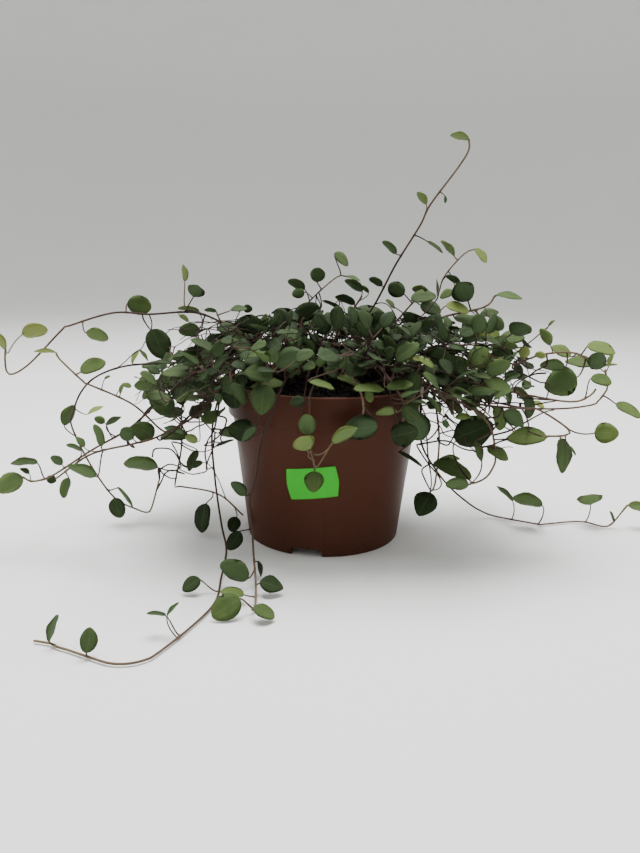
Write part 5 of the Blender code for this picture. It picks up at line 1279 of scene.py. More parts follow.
# %% The stalk's surface
STALK_STEPS = 8
FINE_STALK_SIDES = 6
STALK_START, STALK_END = 0.42, 0.30
STALK_SAG = 0.16  # how deep a stalk hangs through at most, in its length
STALK_INTO = 0.06  # how far it runs into its leaf, in the leaf's length
STALK_UNDER = 0.12  # and how far under the leaf's face
STALK_FOLLOW = 0.45  # how much it follows its stem at first
STALK_PULLS = (0.9, 0.75)  # the pull of its two end directions, in its length
STALK_YOUTH = (0.40, 0.5)  # the least, and what the leaf's tone adds
STALK_WEIGHT = (0.6, 0.4)  # how thick it is at least, and what a leaf of the common size adds
COMMON_LEAF = 12.0
LARGE_LEAF = 1.2  # past this many times the common size a stalk grows no thicker


def stalk_path(root, stem_way, leaf, luck):
    """A cubic curve from the root, first along the stem's way, to a little inside the leaf's base,
    where it points along the leaf. It hangs through by a half wave, as deep as luck says."""
    end = leaf["base"] + leaf["way"] * STALK_INTO * leaf["length"] - leaf["face"] * STALK_UNDER
    reach = np.linalg.norm(end - root)
    out = unit(unit(end - root) + STALK_FOLLOW * stem_way) * reach * STALK_PULLS[0]
    home = leaf["way"] * reach * STALK_PULLS[1]
    t = np.linspace(0.0, 1.0, STALK_STEPS)[:, None]
    sag = np.array([0.0, 0.0, STALK_SAG * luck * reach]) * np.sin(np.pi * t)
    return ((2 * t ** 3 - 3 * t ** 2 + 1) * root + (t ** 3 - 2 * t ** 2 + t) * out
            + (3 * t ** 2 - 2 * t ** 3) * end + (t ** 3 - t ** 2) * home - sag)


def stalk_part(root, stem_way, leaf, luck):
    """A stalk's points, faces and ages: the younger its leaf, the younger it is."""
    path = stalk_path(root, stem_way, leaf, luck)
    strength = STALK_WEIGHT[0] + STALK_WEIGHT[1] * min(leaf["length"] / COMMON_LEAF, LARGE_LEAF)
    radius = np.linspace(STALK_START, STALK_END, STALK_STEPS) * strength
    points = tube_points(path, radius, FINE_STALK_SIDES, leaf["side"])
    age = np.full(len(points), STALK_YOUTH[0] + STALK_YOUTH[1] * leaf["tone"])
    return points, tube_faces(STALK_STEPS, FINE_STALK_SIDES), age


print("stalk points:", STALK_STEPS * FINE_STALK_SIDES)

# %% [markdown]
# ## Fine leaves
# A leaf blade is a flattened tube: at every share of its length a ring runs across the upper face and back
# across the lower one. The edge waves slightly, differently on each leaf. There are hundreds of leaves, so
# each has only a few dozen faces.

# %% The blade's surface
BLADE_ROWS = 9
BLADE_COLUMNS = 4
BLADE_SHEET = 0.30  # the real thickness of a leaf
BLADE_END = 0.035  # the share of its length where a blade's first and last rows stand
EDGE_WAVE = 0.024  # how high the edge waves, in the blade's width
EDGE_WAVES = (7, 5)  # the waves' turn along a blade, in radians, at least and by luck
EDGE_SKEW, EDGE_START = 2.0, 6.28  # their turn from edge to middle, and where they start by luck
POINTED_RARITY = 5.0  # the power that makes pointed leaves rare
ROUND_LOW = 0.92  # below 1, the widest place of a round leaf is below the middle
POINT_START, POINT_DRAWN = 0.55, 0.5  # from where, and how much, a pointed leaf is drawn in


def fine_outline(share, point):
    """The leaf's half width at a share of its length, in its width: nearly an ellipse, or drawn in
    towards the tip where point is 1."""
    blunt = 0.5 * np.sqrt(np.sin(np.pi * np.clip(share, 0, 1) ** ROUND_LOW))
    sharp = blade_half_width(share) * (1.0 - POINT_DRAWN * np.clip(share - POINT_START, 0, 1))
    return blunt + (sharp - blunt) * point


def blade_part(leaf, luck):
    """A blade's points, faces and numbers. luck holds numbers between 0 and 1 of this leaf."""
    share = 0.5 - 0.5 * np.cos(np.pi * np.linspace(BLADE_END, 1.0 - BLADE_END, BLADE_ROWS))
    column = np.sin(np.pi / 2 * np.linspace(-1.0, 1.0, BLADE_COLUMNS))
    across = np.concatenate([column, column[-2:0:-1]])
    upper = np.concatenate([np.ones(BLADE_COLUMNS), -np.ones(BLADE_COLUMNS - 2)])
    upper[[0, BLADE_COLUMNS - 1]] = 0.0
    share, across = np.meshgrid(share, across, indexing="ij")
    upper = np.broadcast_to(upper, share.shape)
    side = across * fine_outline(share, luck[0] ** POINTED_RARITY) * leaf["width"]
    waves = EDGE_WAVES[0] + EDGE_WAVES[1] * luck[1]
    wave = np.sin(share * waves + across * EDGE_SKEW + luck[2] * EDGE_START) * np.abs(across) ** 2
    lift = sheet_height(leaf, share, side) + EDGE_WAVE * leaf["width"] * wave + upper * BLADE_SHEET / 2
    points = (leaf["base"] + (share * leaf["length"])[..., None] * leaf["way"]
              + side[..., None] * leaf["side"] + lift[..., None] * leaf["face"])
    numbers = dict(share=share.ravel(), across=across.ravel(),
                   under=np.where(upper < 0, 1.0, 0.0).ravel())
    return points.reshape(-1, 3), tube_faces(BLADE_ROWS, across.shape[1]), numbers


print("faces of a blade:", len(tube_faces(BLADE_ROWS, 2 * BLADE_COLUMNS - 2)))

# %% [markdown]
# ## Expressions for materials
# A procedural colour is arithmetic on numbers that vary over a surface. A small class wraps a socket, so
# that Python's operators add the Math nodes. Every other node comes from one method.

# %% Sockets as values
class Value:
    """A number or colour that varies over a surface. Python's operators on it add Math nodes."""

    def __init__(self, net, socket):
        self.net = net
        self.socket = socket

    def __add__(self, other):
        return self.net.math("ADD", self, other)

    def __sub__(self, other):
        return self.net.math("SUBTRACT", self, other)

    def __rsub__(self, other):
        return self.net.math("SUBTRACT", other, self)

    def __mul__(self, other):
        return self.net.math("MULTIPLY", self, other)

    def __truediv__(self, other):
        return self.net.math("DIVIDE", self, other)

    __radd__ = __add__
    __rmul__ = __mul__


class Net:
    """The nodes of one material."""

    def __init__(self, name, **constants):
        self.material = bpy.data.materials.new(name)
        self.material.use_nodes = True
        self.tree = self.material.node_tree
        self.shader = self.tree.nodes["Principled BSDF"]
        for socket, value in constants.items():
            self.shader.inputs[socket.replace("_", " ")].default_value = value

    def node(self, kind, settings=None, inputs=None, output=0):
        """Adds a node: its settings first, a ramp's stops among them, then its sockets' values."""
        node = self.tree.nodes.new(kind)
        for key, value in (settings or {}).items():
            if key == "stops":
                while len(node.color_ramp.elements) < len(value):
                    node.color_ramp.elements.new(0.5)
                for element, (place, colour) in zip(node.color_ramp.elements, value):
                    element.position = place
                    element.color = (*colour, 1.0)
            else:
                setattr(node, key, value)
        for key, value in (inputs or {}).items():
            self.join(value, node.inputs[key])
        return Value(self, node.outputs[output])

    def join(self, value, socket):
        """Links a value to a socket, or sets the socket to a plain number."""
        if isinstance(value, Value):
            self.tree.links.new(value.socket, socket)
        else:
            socket.default_value = value

    def math(self, operation, first, second=0.0, clamp=False):
        """One Math node."""
        return self.node("ShaderNodeMath", {"operation": operation, "use_clamp": clamp},
                         {0: first, 1: second})

    def mix(self, share, first, second):
        """A mix of two colours."""
        first, second = ((*c, 1.0) if isinstance(c, tuple) else c for c in (first, second))
        return self.node("ShaderNodeMix", {"data_type": "RGBA"}, {0: share, 6: first, 7: second}, output=2)

    def ramp(self, value, stops):
        """A colour ramp of (place, colour) stops."""
        return self.node("ShaderNodeValToRGB", {"stops": stops}, {0: value})

    def number(self, name):
        """A number kept at the mesh's points."""
        return self.node("ShaderNodeAttribute", {"attribute_name": name}, output=2)

    def noise(self, scale, detail=2.0, rough=0.5):
        """Cloudy noise in the object's own space, scale in lumps a metre."""
        place = self.node("ShaderNodeTexCoord", output=3)
        return self.node("ShaderNodeTexNoise", inputs={"Vector": place, "Scale": scale, "Detail": detail,
                                                       "Roughness": rough})

    def bump(self, height, distance, strength):
        """A bump whose height is a value, in metres of distance."""
        return self.node("ShaderNodeBump", inputs={"Height": height, "Distance": distance,
                                                   "Strength": strength})

    def put(self, **sockets):
        """Links values to the shader and gives the material."""
        for socket, value in sockets.items():
            self.join(value, self.shader.inputs[socket.replace("_", " ")])
        return self.material


print("materials can be written as expressions")

# %% [markdown]
# ## The leaf's finish
# Old leaves are a dark, slightly bluish green, and young ones a fresh yellow green. A leaf is paler along
# its ribs and on its underside, mottled a little, and has a dull gloss that differs over its face.

# %% The leaf material
def leaf_material():
    """Colour by tone, mottled by noise, paler on ribs and below; ribs and cells as a fine bump."""
    net = Net("leaf", Specular_IOR_Level=0.10)
    tone, share, across = net.number("tone"), net.number("share"), net.number("across")
    cloud = net.noise(260.0, 3.0)
    grain = net.noise(2400.0, 2.0)
    age = tone + (cloud - 0.5) * 0.22 + (share - 0.5) * 0.06
    skin = net.ramp(age, [(0.0, (0.012, 0.021, 0.008)), (0.22, (0.032, 0.051, 0.019)),
                          (0.45, (0.066, 0.101, 0.029)), (0.72, (0.122, 0.168, 0.044)),
                          (1.0, (0.235, 0.256, 0.060))])
    middle = net.math("ABSOLUTE", across)
    rib = net.math("SUBTRACT", 1.0, middle * 14.0, clamp=True)
    fan = net.math("SINE", (share * 30.0) - (middle * 13.0))
    vein = net.math("SUBTRACT", fan, 0.86, clamp=True) * 5.0 * (1.0 - middle)
    lines = net.math("MAXIMUM", rib * 0.8, vein * 0.28, clamp=True)
    skin = net.mix(lines * 0.12, skin, (0.24, 0.33, 0.13))
    edge = net.math("SUBTRACT", middle, 0.93, clamp=True) * 9.0
    skin = net.mix(edge * 0.30, skin, (0.13, 0.085, 0.03))
    skin = net.mix(net.number("under") * 0.40, skin, (0.085, 0.140, 0.062))
    height = grain * 0.25 - lines * 0.6
    return net.put(Base_Color=skin, Roughness=0.58 + cloud * 0.22,
                   Normal=net.bump(height, 0.00010, 0.5))


leaf_finish = leaf_material()
print("made", leaf_finish.name)

# %% [markdown]
# ## The stem's finish
# The oldest part of a stem is nearly black brown and woody, the middle red brown, and the growing tip and
# the stalks of young leaves are a pinkish tan that turns green.

# %% The stem material
def stem_material():
    """Colour by age along the stem, streaked by noise, with a finely cracked bark as bump."""
    net = Net("stem", Specular_IOR_Level=0.12)
    streak = net.noise(700.0, 3.0, 0.6)
    age = net.number("age") + (streak - 0.5) * 0.30
    bark = net.ramp(age, [(0.0, (0.014, 0.009, 0.007)), (0.45, (0.042, 0.025, 0.019)),
                          (0.72, (0.098, 0.060, 0.042)), (1.0, (0.190, 0.150, 0.075))])
    return net.put(Base_Color=bark, Roughness=0.55 + streak * 0.25, Normal=net.bump(streak, 0.00018, 0.6))


stem_finish = stem_material()
print("made", stem_finish.name)

# %% [markdown]
# ## One piece for each leafy stem
# All of a stem's surfaces go into one mesh with two finishes, and that piece stands for the solid of the
# same stem, so that it is as easy to pick out as a cutting lifted from the pot.

# %% Joining a stem, its stalks and its blades
LOOK_SEED = 12
MOUND_SHADE_TONE = 0.46  # leaves of the mound are darkened, as painted shade inside the mound
DRAWN_TONE = (0.04, 0.84)  # the darkest tone of one that stands out, and its share of the leaf's own
TONE_LUCK = 0.05
SHADE_REACH = 60.0  # painted light starts on leaves farther out than this, and painted shade on leaves lower than this
# How much painted light pales leaves far out and high up, and how much painted shade darkens low ones.
PAINTED_LIGHT_OUT = 0.20
PAINTED_SHADE_LOW = 0.08
VINE_YOUTH = (0.0, 0.9)  # how young a stem is at its foot and tip
MOUND_YOUTH = (0.0, 0.4)
TWIG_LOOKS = {"mound": (TWIG_WIRE, (0.0, 0.35)), "front": (TWIST_WIRE, (0.85, 0.75)),
              "runner": (RUNNER_WIRE, (0.15, 0.5))}


def leaf_tone_with_painted_light(leaf, in_mound):
    """A leaf's tone, with painted light far out and high up and painted shade low down and in the mound."""
    far_out = np.clip((math.hypot(*leaf["centre"][:2]) - SHADE_REACH) / SHADE_REACH, 0.0, 1.0)
    high_up = np.clip(leaf["centre"][2] / SHADE_REACH, 0.0, 1.0)
    # The mound's leaves get painted shade; the others keep their own tone.
    tone = leaf["tone"] * MOUND_SHADE_TONE if in_mound else DRAWN_TONE[0] + DRAWN_TONE[1] * leaf["tone"]
    # Painted light far out and high up, painted shade near the surface.
    return tone + PAINTED_LIGHT_OUT * far_out * high_up - PAINTED_SHADE_LOW * (1.0 - high_up)


def leafy_parts(name, path, own, draw, wire, youth, sides):
    """A stem or twig with its stalks and blades: for each part its points, faces, ages, and for a
    blade its numbers and its tone."""
    ways = np.gradient(path, axis=0)
    nearest = [np.argmin(np.linalg.norm(path - stalk[0], axis=1)) for _, stalk in own]
    parts = [(*wire_part(path, wire, [path[k] for k in nearest], youth, sides), None, 0.0)]
    for (leaf, stalk), k in zip(own, nearest):
        luck = draw.uniform(0, 1, 4)
        parts.append((*stalk_part(path[k], unit(ways[k]), leaf, luck[3]), None, 0.0))
        points, faces, numbers = blade_part(leaf, luck)
        tone = leaf_tone_with_painted_light(leaf, name.startswith("mound")) + draw.uniform(-TONE_LUCK, TONE_LUCK)
        parts.append((points, faces, np.zeros(len(points)), numbers, tone))
    return parts


def stacked(name, parts):
    """One mesh of all the parts, each part's faces moved on by the points before it."""
    points, faces, ages, blades, tones = zip(*parts)
    counts = [len(places) for places in points]
    starts = np.cumsum([0] + counts[:-1])
    slots = np.repeat([0 if blade is None else 1 for blade in blades], [len(rows) for rows in faces])
    numbers = {"age": np.concatenate(ages)}
    for key in ("share", "across", "under"):
        numbers[key] = np.concatenate([np.zeros(count) if blade is None else blade[key]
                                       for blade, count in zip(blades, counts)])
    numbers["tone"] = np.repeat(tones, counts)
    faces = np.vstack([rows + start for rows, start in zip(faces, starts)])
    mesh = array_mesh(name, np.vstack(points), faces, numbers, slots)
    mesh.materials.append(stem_finish)
    mesh.materials.append(leaf_finish)
    return mesh


def show(name, mesh, node):
    """Puts a mesh in the scene as a piece of the object, in place of the solid that it stands for."""
    piece = placed(name, mesh)
    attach(piece, "root")
    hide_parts(node)


draw = np.random.default_rng(LOOK_SEED)
by_owner = {}
for owner, leaf, stalk in leaves + extra:
    by_owner.setdefault(owner, []).append((leaf, stalk))
faces_made = 0
for name, line in lines.items():
    youth, shares = (MOUND_YOUTH, MOUND_WIRE) if name.startswith("mound") else (VINE_YOUTH, WIRE_SHARE)
    slender = SLENDER_WIRE if name in SLENDER else 1.0
    wire = (stem_radius(name, 0.0) * shares[0] * slender, stem_radius(name, 1.0) * shares[1] * slender)
    path = smooth_curve(line, FINE_STEM_STEP)
    parts = leafy_parts(name, path, by_owner.get(name, []), draw, wire, youth, FINE_STEM_SIDES)
    for twig in [twig for twig, owner in twig_owner.items() if owner == name]:
        look = TWIG_LOOKS[twig.split("_")[0]]
        parts += leafy_parts(twig, twigs[twig], by_owner.get(twig, []), draw, *look, TWIG_SIDES)
    mesh = stacked(f"fine_{name}", parts)
    show(f"fine_{name}", mesh, f"leafy_stem_{name}")
    faces_made += len(mesh.polygons)
print("faces of all leafy stems:", faces_made)

# %% [markdown]
# ## The pot
# A nursery pot is moulded in one thin shell: a foot ring with three notches that let water away, a raised
# base with drain holes, a wall that widens upwards, and a collar that steps out so that empty pots don't
# jam in each other. A profile turned about the axis gives all but the notches and holes, which are cut.

# %% The pot's shell
FINE_SIDES = 160
FINE_DRAIN_SIDES = 32
CORNER_CUT = 0.7  # how far a corner's rounding reaches
CUT_SHARE = 0.45  # but no farther than this share of the side
CORNER_STEPS = 4
AXIS_RING = 0.002  # the radius of a profile's ends on the axis
NOTCH_BEVEL = 1.1
NOTCH_CUT = 14.4  # how deep the block that cuts a notch is
DRAIN_CUT = 6.0
SHARP_TURN = 32.0  # degrees between faces whose edge stays sharp


def rounded(corners):
    """The chain of corners with each inner corner replaced by a short quadratic curve."""
    corners = np.asarray(corners, float)
    chain = [corners[:1]]
    t = np.linspace(0.0, 1.0, CORNER_STEPS)[:, None]
    for before, here, after in zip(corners, corners[1:], corners[2:]):
        cut_in = min(CORNER_CUT, np.linalg.norm(before - here) * CUT_SHARE)
        cut_out = min(CORNER_CUT, np.linalg.norm(after - here) * CUT_SHARE)
        start = here + unit(before - here) * cut_in
        end = here + unit(after - here) * cut_out
        chain.append((1 - t) ** 2 * start + 2 * t * (1 - t) * here + t ** 2 * end)
    chain.append(corners[-1:])
    return np.vstack(chain)


def turned(profile, sides):
    """Points and faces of a (radius, height) profile turned about the axis. The profile runs from the
    axis to the axis, and its end rings are tiny."""
    turn = 2 * np.pi * np.arange(sides) / sides
    points = around(np.maximum(profile[:, :1], AXIS_RING), turn, profile[:, 1:])
    return points.reshape(-1, 3), tube_faces(len(profile), sides)


def pot_profile():
    """The pot's section, from under the base outwards, up the wall, over the rim and down inside."""
    corners = [(0.0, PLATE_LOW), (wall_radius(PLATE_LOW) - FOOT_RING, PLATE_LOW),
               (FOOT_OUTER - FOOT_RING, 0.0), (FOOT_OUTER, 0.0), (BODY_OUTER, COLLAR_LOW),
               (COLLAR_OUTER, COLLAR_LOW), (RIM_OUTER, POT_TALL), (RIM_OUTER - COLLAR_WALL, POT_TALL),
               (COLLAR_OUTER - COLLAR_WALL, COLLAR_LOW + COLLAR_WALL),
               (BODY_OUTER - WALL, COLLAR_LOW - WALL), (wall_radius(PLATE_TOP) - WALL, PLATE_TOP),
               (0.0, PLATE_TOP)]
    return rounded(corners)


def form_mesh(name, form):
    """A finished form as a mesh."""
    mesh = bpy.data.meshes.new(name)
    form.to_mesh(mesh)
    form.free()
    return mesh


def notch_mesh(number):
    """A block across the foot ring at its turn around the pot, with its upper corners bevelled."""
    form = bmesh.new()
    bmesh.ops.create_cube(form, size=1.0)
    bmesh.ops.scale(form, verts=form.verts, vec=(NOTCH_CUT * MM, NOTCH_WIDE * MM, NOTCH_TALL * 2 * MM))
    upper = [edge for edge in form.edges if all(vert.co.z > 0 for vert in edge.verts)
             and abs(edge.verts[0].co.x - edge.verts[1].co.x) > MM]
    bmesh.ops.bevel(form, geom=upper, offset=NOTCH_BEVEL * MM, segments=3, affect="EDGES", profile=0.5)
    turn = math.radians(NOTCH_FIRST + 360 / NOTCH_COUNT * number)
    bmesh.ops.rotate(form, verts=form.verts, cent=(0, 0, 0), matrix=Matrix.Rotation(turn, 3, "Z"))
    bmesh.ops.translate(form, verts=form.verts, vec=POT_PLACE + around(FOOT_OUTER, turn, 0.0) * MM)
    return form_mesh("notch_cut", form)


def drain_mesh(number):
    """A round cutter through the base at its turn."""
    turn = 2 * math.pi * number / DRAIN_COUNT
    form = bmesh.new()
    bmesh.ops.create_cone(form, cap_ends=True, segments=FINE_DRAIN_SIDES, radius1=DRAIN_RADIUS * MM,
                          radius2=DRAIN_RADIUS * MM, depth=DRAIN_CUT * MM)
    bmesh.ops.translate(form, verts=form.verts, vec=POT_PLACE
                        + around(DRAIN_RING, turn, (PLATE_LOW + PLATE_TOP) / 2) * MM)
    return form_mesh("drain_cut", form)


def cut_shell(mesh, cutters):
    """The shell's mesh with the cutters taken out of it. Shell and cutters leave the scene again."""
    shell = placed("shell", mesh)
    for cutter in cutters:
        cut = shell.modifiers.new("cut", "BOOLEAN")
        cut.operation = "DIFFERENCE"
        cut.solver = "EXACT"
        cut.object = cutter
    made = bpy.data.meshes.new_from_object(shell.evaluated_get(bpy.context.evaluated_depsgraph_get()))
    for item in [shell, *cutters]:
        bpy.data.objects.remove(item)
    return made


points, faces = turned(pot_profile(), FINE_SIDES)
shell = array_mesh("shell", points, faces, {})
cutters = [placed(f"notch_cut_{k}", notch_mesh(k)) for k in range(NOTCH_COUNT)]
cutters += [placed(f"drain_cut_{k}", drain_mesh(k)) for k in range(DRAIN_COUNT)]
pot_mesh = cut_shell(shell, cutters)
pot_mesh.name = "fine_pot"
pot_mesh.set_sharp_from_angle(angle=math.radians(SHARP_TURN))
print("pot faces:", len(pot_mesh.polygons))

# %% [markdown]
# ## The pot's finish
# The plastic is a dark red brown with a satin gloss, a little cloudy, with fine upright streaks from the
# mould and a dusting of dry soil towards its foot. The top of the rim is lightened by a painted highlight.

# %% The pot material
RIM_SHINE_LOW = 0.0837  # metres up, where the painted highlight on the top of the rim starts
RIM_SHINE_RISE = 0.0006


def pot_material():
    """Red brown, mottled by two noises, with a painted highlight on the top of the rim; dust grows towards
    the foot; the gloss varies with the dust.
    """
    net = Net("pot", Specular_IOR_Level=0.07)
    place = net.node("ShaderNodeTexCoord", output=3)
    height = net.node("ShaderNodeSeparateXYZ", inputs={0: place}, output=2)
    cloud = net.noise(28.0, 3.0)
    speck = net.noise(900.0, 3.0, 0.6)
    stretched = net.node("ShaderNodeMapping", inputs={"Vector": place, "Scale": (1.0, 1.0, 0.05)})
    streak = net.node("ShaderNodeTexNoise", inputs={"Vector": stretched, "Scale": 240.0, "Detail": 2.0})
    skin = net.mix(cloud, (0.051, 0.0168, 0.0090), (0.061, 0.0208, 0.0115))
    skin = net.mix(streak * 0.25, skin, (0.042, 0.0132, 0.0072))
    # A painted highlight: the top of the rim is mixed towards a pale red brown.
    rim = net.math("DIVIDE", height - RIM_SHINE_LOW, RIM_SHINE_RISE, clamp=True)
    skin = net.mix(rim * 0.6, skin, (0.190, 0.085, 0.055))
    low = net.math("SUBTRACT", 1.0, height / 0.030, clamp=True)
    grain = net.math("SUBTRACT", speck, 0.42, clamp=True) * 4.0
    dust = net.math("MULTIPLY", low * 0.30 + 0.03, grain, clamp=True)
    skin = net.mix(dust * 0.45, skin, (0.13, 0.085, 0.062))
    return net.put(Base_Color=skin, Roughness=0.38 + cloud * 0.10 + dust * 0.35,
                   Normal=net.bump(streak * 0.5 + speck * 0.15, 0.00012, 0.35))


pot_mesh.materials.clear()
pot_mesh.materials.append(pot_material())
show("fine_pot", pot_mesh, "pot")

# %% [markdown]
# ## The soil
# Potting mix is peat and bark in crumbs of all sizes. The surface is a turned disc whose height is a sum
# of many small waves, and loose crumbs, each a squashed ball with a few faces, are strewn over it.

# %% The soil's bed
SOIL_RINGS = 90
SOIL_SIDES = 220
SOIL_ROUGH = 0.55
SOIL_SEED = 5
SOIL_WAVES = 70
WAVE_LENGTHS = (1.2, 9.0)
WAVE_POWER = 0.8  # how a wave's height grows with its length
BED_LOWER = 0.6  # how much lower than the solid the bed lies, so that crumbs can stand on it
BED_MARGIN = 1.5  # how far below the edge's height the rough top reaches
SIDE_SEAT = 1.5  # the gap to the pot's side, in the seat's
TOP_SEAT = 2.2


def soil_height(x, y, draw):
    """A sum of sine waves of many lengths and directions, each lower the shorter it is."""
    height = np.zeros_like(x)
    for _ in range(SOIL_WAVES):
        length = draw.uniform(*WAVE_LENGTHS)
        angle, phase = draw.uniform(0, 2 * np.pi, 2)
        place = x * np.cos(angle) + y * np.sin(angle)
        height += length ** WAVE_POWER * np.sin(place * 2 * np.pi / length + phase)
    return height / np.abs(height).max()


def soil_mesh():
    """The bed: a disc with a rough top, turned down at its edge to the base of the pot."""
    draw = np.random.default_rng(SOIL_SEED)
    edge = RIM_OUTER - COLLAR_WALL - SEAT * TOP_SEAT
    share = np.linspace(0.0, 1.0, SOIL_RINGS + 1)
    top = np.stack([edge * np.sqrt(share), SOIL_TOP - (SOIL_TOP - SOIL_EDGE) * share ** 2 - BED_LOWER],
                   axis=-1)
    low = [(COLLAR_OUTER - COLLAR_WALL - SEAT * SIDE_SEAT, COLLAR_LOW + COLLAR_WALL + SEAT),
           (BODY_OUTER - WALL - SEAT * SIDE_SEAT, COLLAR_LOW - WALL - SEAT),
           (wall_radius(PLATE_TOP) - WALL - SEAT * SIDE_SEAT, PLATE_TOP + SEAT), (0.0, PLATE_TOP + SEAT)]
    points, faces = turned(np.vstack([top, low]), SOIL_SIDES)
    rough = SOIL_ROUGH * soil_height(points[:, 0], points[:, 1], draw)
    points[:, 2] += np.where(points[:, 2] > SOIL_EDGE - BED_MARGIN, rough, 0.0)
    return points, faces[:, ::-1]


bed_points, bed_faces = soil_mesh()
print("soil bed faces:", len(bed_faces))

# %% Crumbs on the soil
CRUMB_COUNT = 1500
CRUMB_RINGS = 5
CRUMB_SIDES = 6
CRUMB_POLE = 0.15  # how far from its axis a crumb's first ring stands, in radians
CRUMB_DENTS = (0.65, 1.25)
CRUMB_DRAWS = (0.35, 1.0)
CRUMB_RARITY = 1.6  # the power that makes large crumbs rare
CRUMB_SIZES = (0.25, 1.7)  # the least size, and what the draw adds
CRUMB_STRETCH = (0.5, 1.3)
CRUMB_MARGIN = 2.6  # how far from the wall crumbs lie
CRUMB_SINK = (0.5, 1.3)  # how deep they lie, and how much deeper at the rim
BED_LUCK = 0.35


def crumbs(draw):
    """Crumbs: balls of a few faces, each stretched, turned about Z and dented at random, on the bed."""
    tilt = np.linspace(CRUMB_POLE, np.pi - CRUMB_POLE, CRUMB_RINGS)[:, None]
    turn = 2 * np.pi * np.arange(CRUMB_SIDES)[None] / CRUMB_SIDES
    ball = around(np.sin(tilt), turn, -np.cos(tilt)).reshape(-1, 3)
    dents = draw.uniform(*CRUMB_DENTS, (CRUMB_COUNT, len(ball), 1))
    size = (draw.uniform(*CRUMB_DRAWS, (CRUMB_COUNT, 1, 1)) ** CRUMB_RARITY * CRUMB_SIZES[1]
            + CRUMB_SIZES[0])
    stretch = draw.uniform(*CRUMB_STRETCH, (CRUMB_COUNT, 1, 3))
    bodies = ball[None] * dents * size * stretch
    angle = draw.uniform(0, 2 * np.pi, (CRUMB_COUNT, 1))
    x, y = bodies[..., 0], bodies[..., 1]
    bodies = np.stack([x * np.cos(angle) - y * np.sin(angle), x * np.sin(angle) + y * np.cos(angle),
                       bodies[..., 2]], axis=-1)
    radius = (RIM_OUTER - COLLAR_WALL - CRUMB_MARGIN) * np.sqrt(draw.uniform(0, 1, CRUMB_COUNT))
    turn = draw.uniform(0, 2 * np.pi, CRUMB_COUNT)
    height = SOIL_TOP - CRUMB_SINK[0] - CRUMB_SINK[1] * (radius / RIM_OUTER) ** 2
    bodies += around(radius, turn, height)[:, None]
    starts = np.arange(CRUMB_COUNT)[:, None, None] * len(ball)
    faces = tube_faces(CRUMB_RINGS, CRUMB_SIDES)[None] + starts
    luck = np.repeat(draw.uniform(0, 1, CRUMB_COUNT), len(ball))
    return bodies.reshape(-1, 3), faces.reshape(-1, 4), luck


crumb_points, crumb_faces, crumb_luck = crumbs(np.random.default_rng(SOIL_SEED + 1))
print("crumbs:", CRUMB_COUNT)

# %% The soil material
def soil_material():
    """Near black, each crumb a little lighter or browner than the next, with a grainy bump."""
    net = Net("soil", Specular_IOR_Level=0.12)
    luck = net.number("luck")
    cloud = net.noise(700.0, 5.0, 0.7)
    grain = net.noise(3200.0, 3.0, 0.6)
    skin = net.ramp(luck * 0.75 + cloud * 0.35,
                    [(0.0, (0.003, 0.003, 0.0028)), (0.55, (0.007, 0.0058, 0.0050)),
                     (0.85, (0.020, 0.014, 0.010)), (1.0, (0.055, 0.038, 0.026))])
    return net.put(Base_Color=skin, Roughness=0.82 + grain * 0.15,
                   Normal=net.bump(cloud + grain * 0.5, 0.0006, 0.8))


soil_points = np.vstack([bed_points, crumb_points])
soil_faces = np.vstack([bed_faces, crumb_faces + len(bed_points)])
soil_luck = np.concatenate([np.full(len(bed_points), BED_LUCK), crumb_luck])
soil = array_mesh("fine_soil", soil_points, soil_faces, {"luck": soil_luck})
soil.materials.append(soil_material())
show("fine_soil", soil, "soil")
print("soil faces:", len(soil.polygons))

# %% [markdown]
# ## The label
# The price label is a bright green sticker from a hand labeller, with bulging ends. It is left bare. It
# lies on the wall of the pot, so each of its points takes the wall's radius at its own height.

# %% The label's sheet
LABEL_ROWS = 24
LABEL_STEPS = 60
LABEL_LEVELS = (0.12, 0.42)  # how far its inner and outer sheet stand off the wall
LABEL_WAVE = 0.03
LABEL_WAVES = (9.0, 4.0)  # how fast the sheet waves across and up
LABEL_CORNERS = 1.3  # the power of the height by which its ends bulge
LABEL_SHARP = 40.0  # degrees between faces whose edge stays sharp


def label_points():
    """Its inner and outer sheet, each a grid wrapped on the wall. Its half length is longest halfway up
    and shorter at the corners, by a power of the height."""
    across, up = np.meshgrid(np.linspace(-1, 1, LABEL_STEPS), np.linspace(-1, 1, LABEL_ROWS), indexing="ij")
    bulge = LABEL_END * (1.0 - np.abs(up) ** LABEL_CORNERS)
    aside = across * (LABEL_WIDE / 2 - LABEL_END + bulge)
    above = up * LABEL_TALL / 2
    tilt = math.radians(LABEL_TILT)
    aside, above = (aside * math.cos(tilt) - above * math.sin(tilt),
                    aside * math.sin(tilt) + above * math.cos(tilt))
    height = LABEL_HEIGHT + above
    wall = FOOT_OUTER + (BODY_OUTER - FOOT_OUTER) * height / COLLAR_LOW
    lift = LABEL_WAVE * np.sin(across * LABEL_WAVES[0] + up * LABEL_WAVES[1])
    turn = math.radians(LABEL_TURN) + aside / wall_radius(LABEL_HEIGHT)
    return [around(wall + level + lift, turn, height) for level in LABEL_LEVELS]


def label_mesh():
    """The two sheets as one ring a column: up the outer sheet and back down the inner one."""
    inner, outer = label_points()
    rings = np.concatenate([outer, inner[:, ::-1]], axis=1)
    return rings.reshape(-1, 3), tube_faces(LABEL_STEPS, rings.shape[1])[:, ::-1]


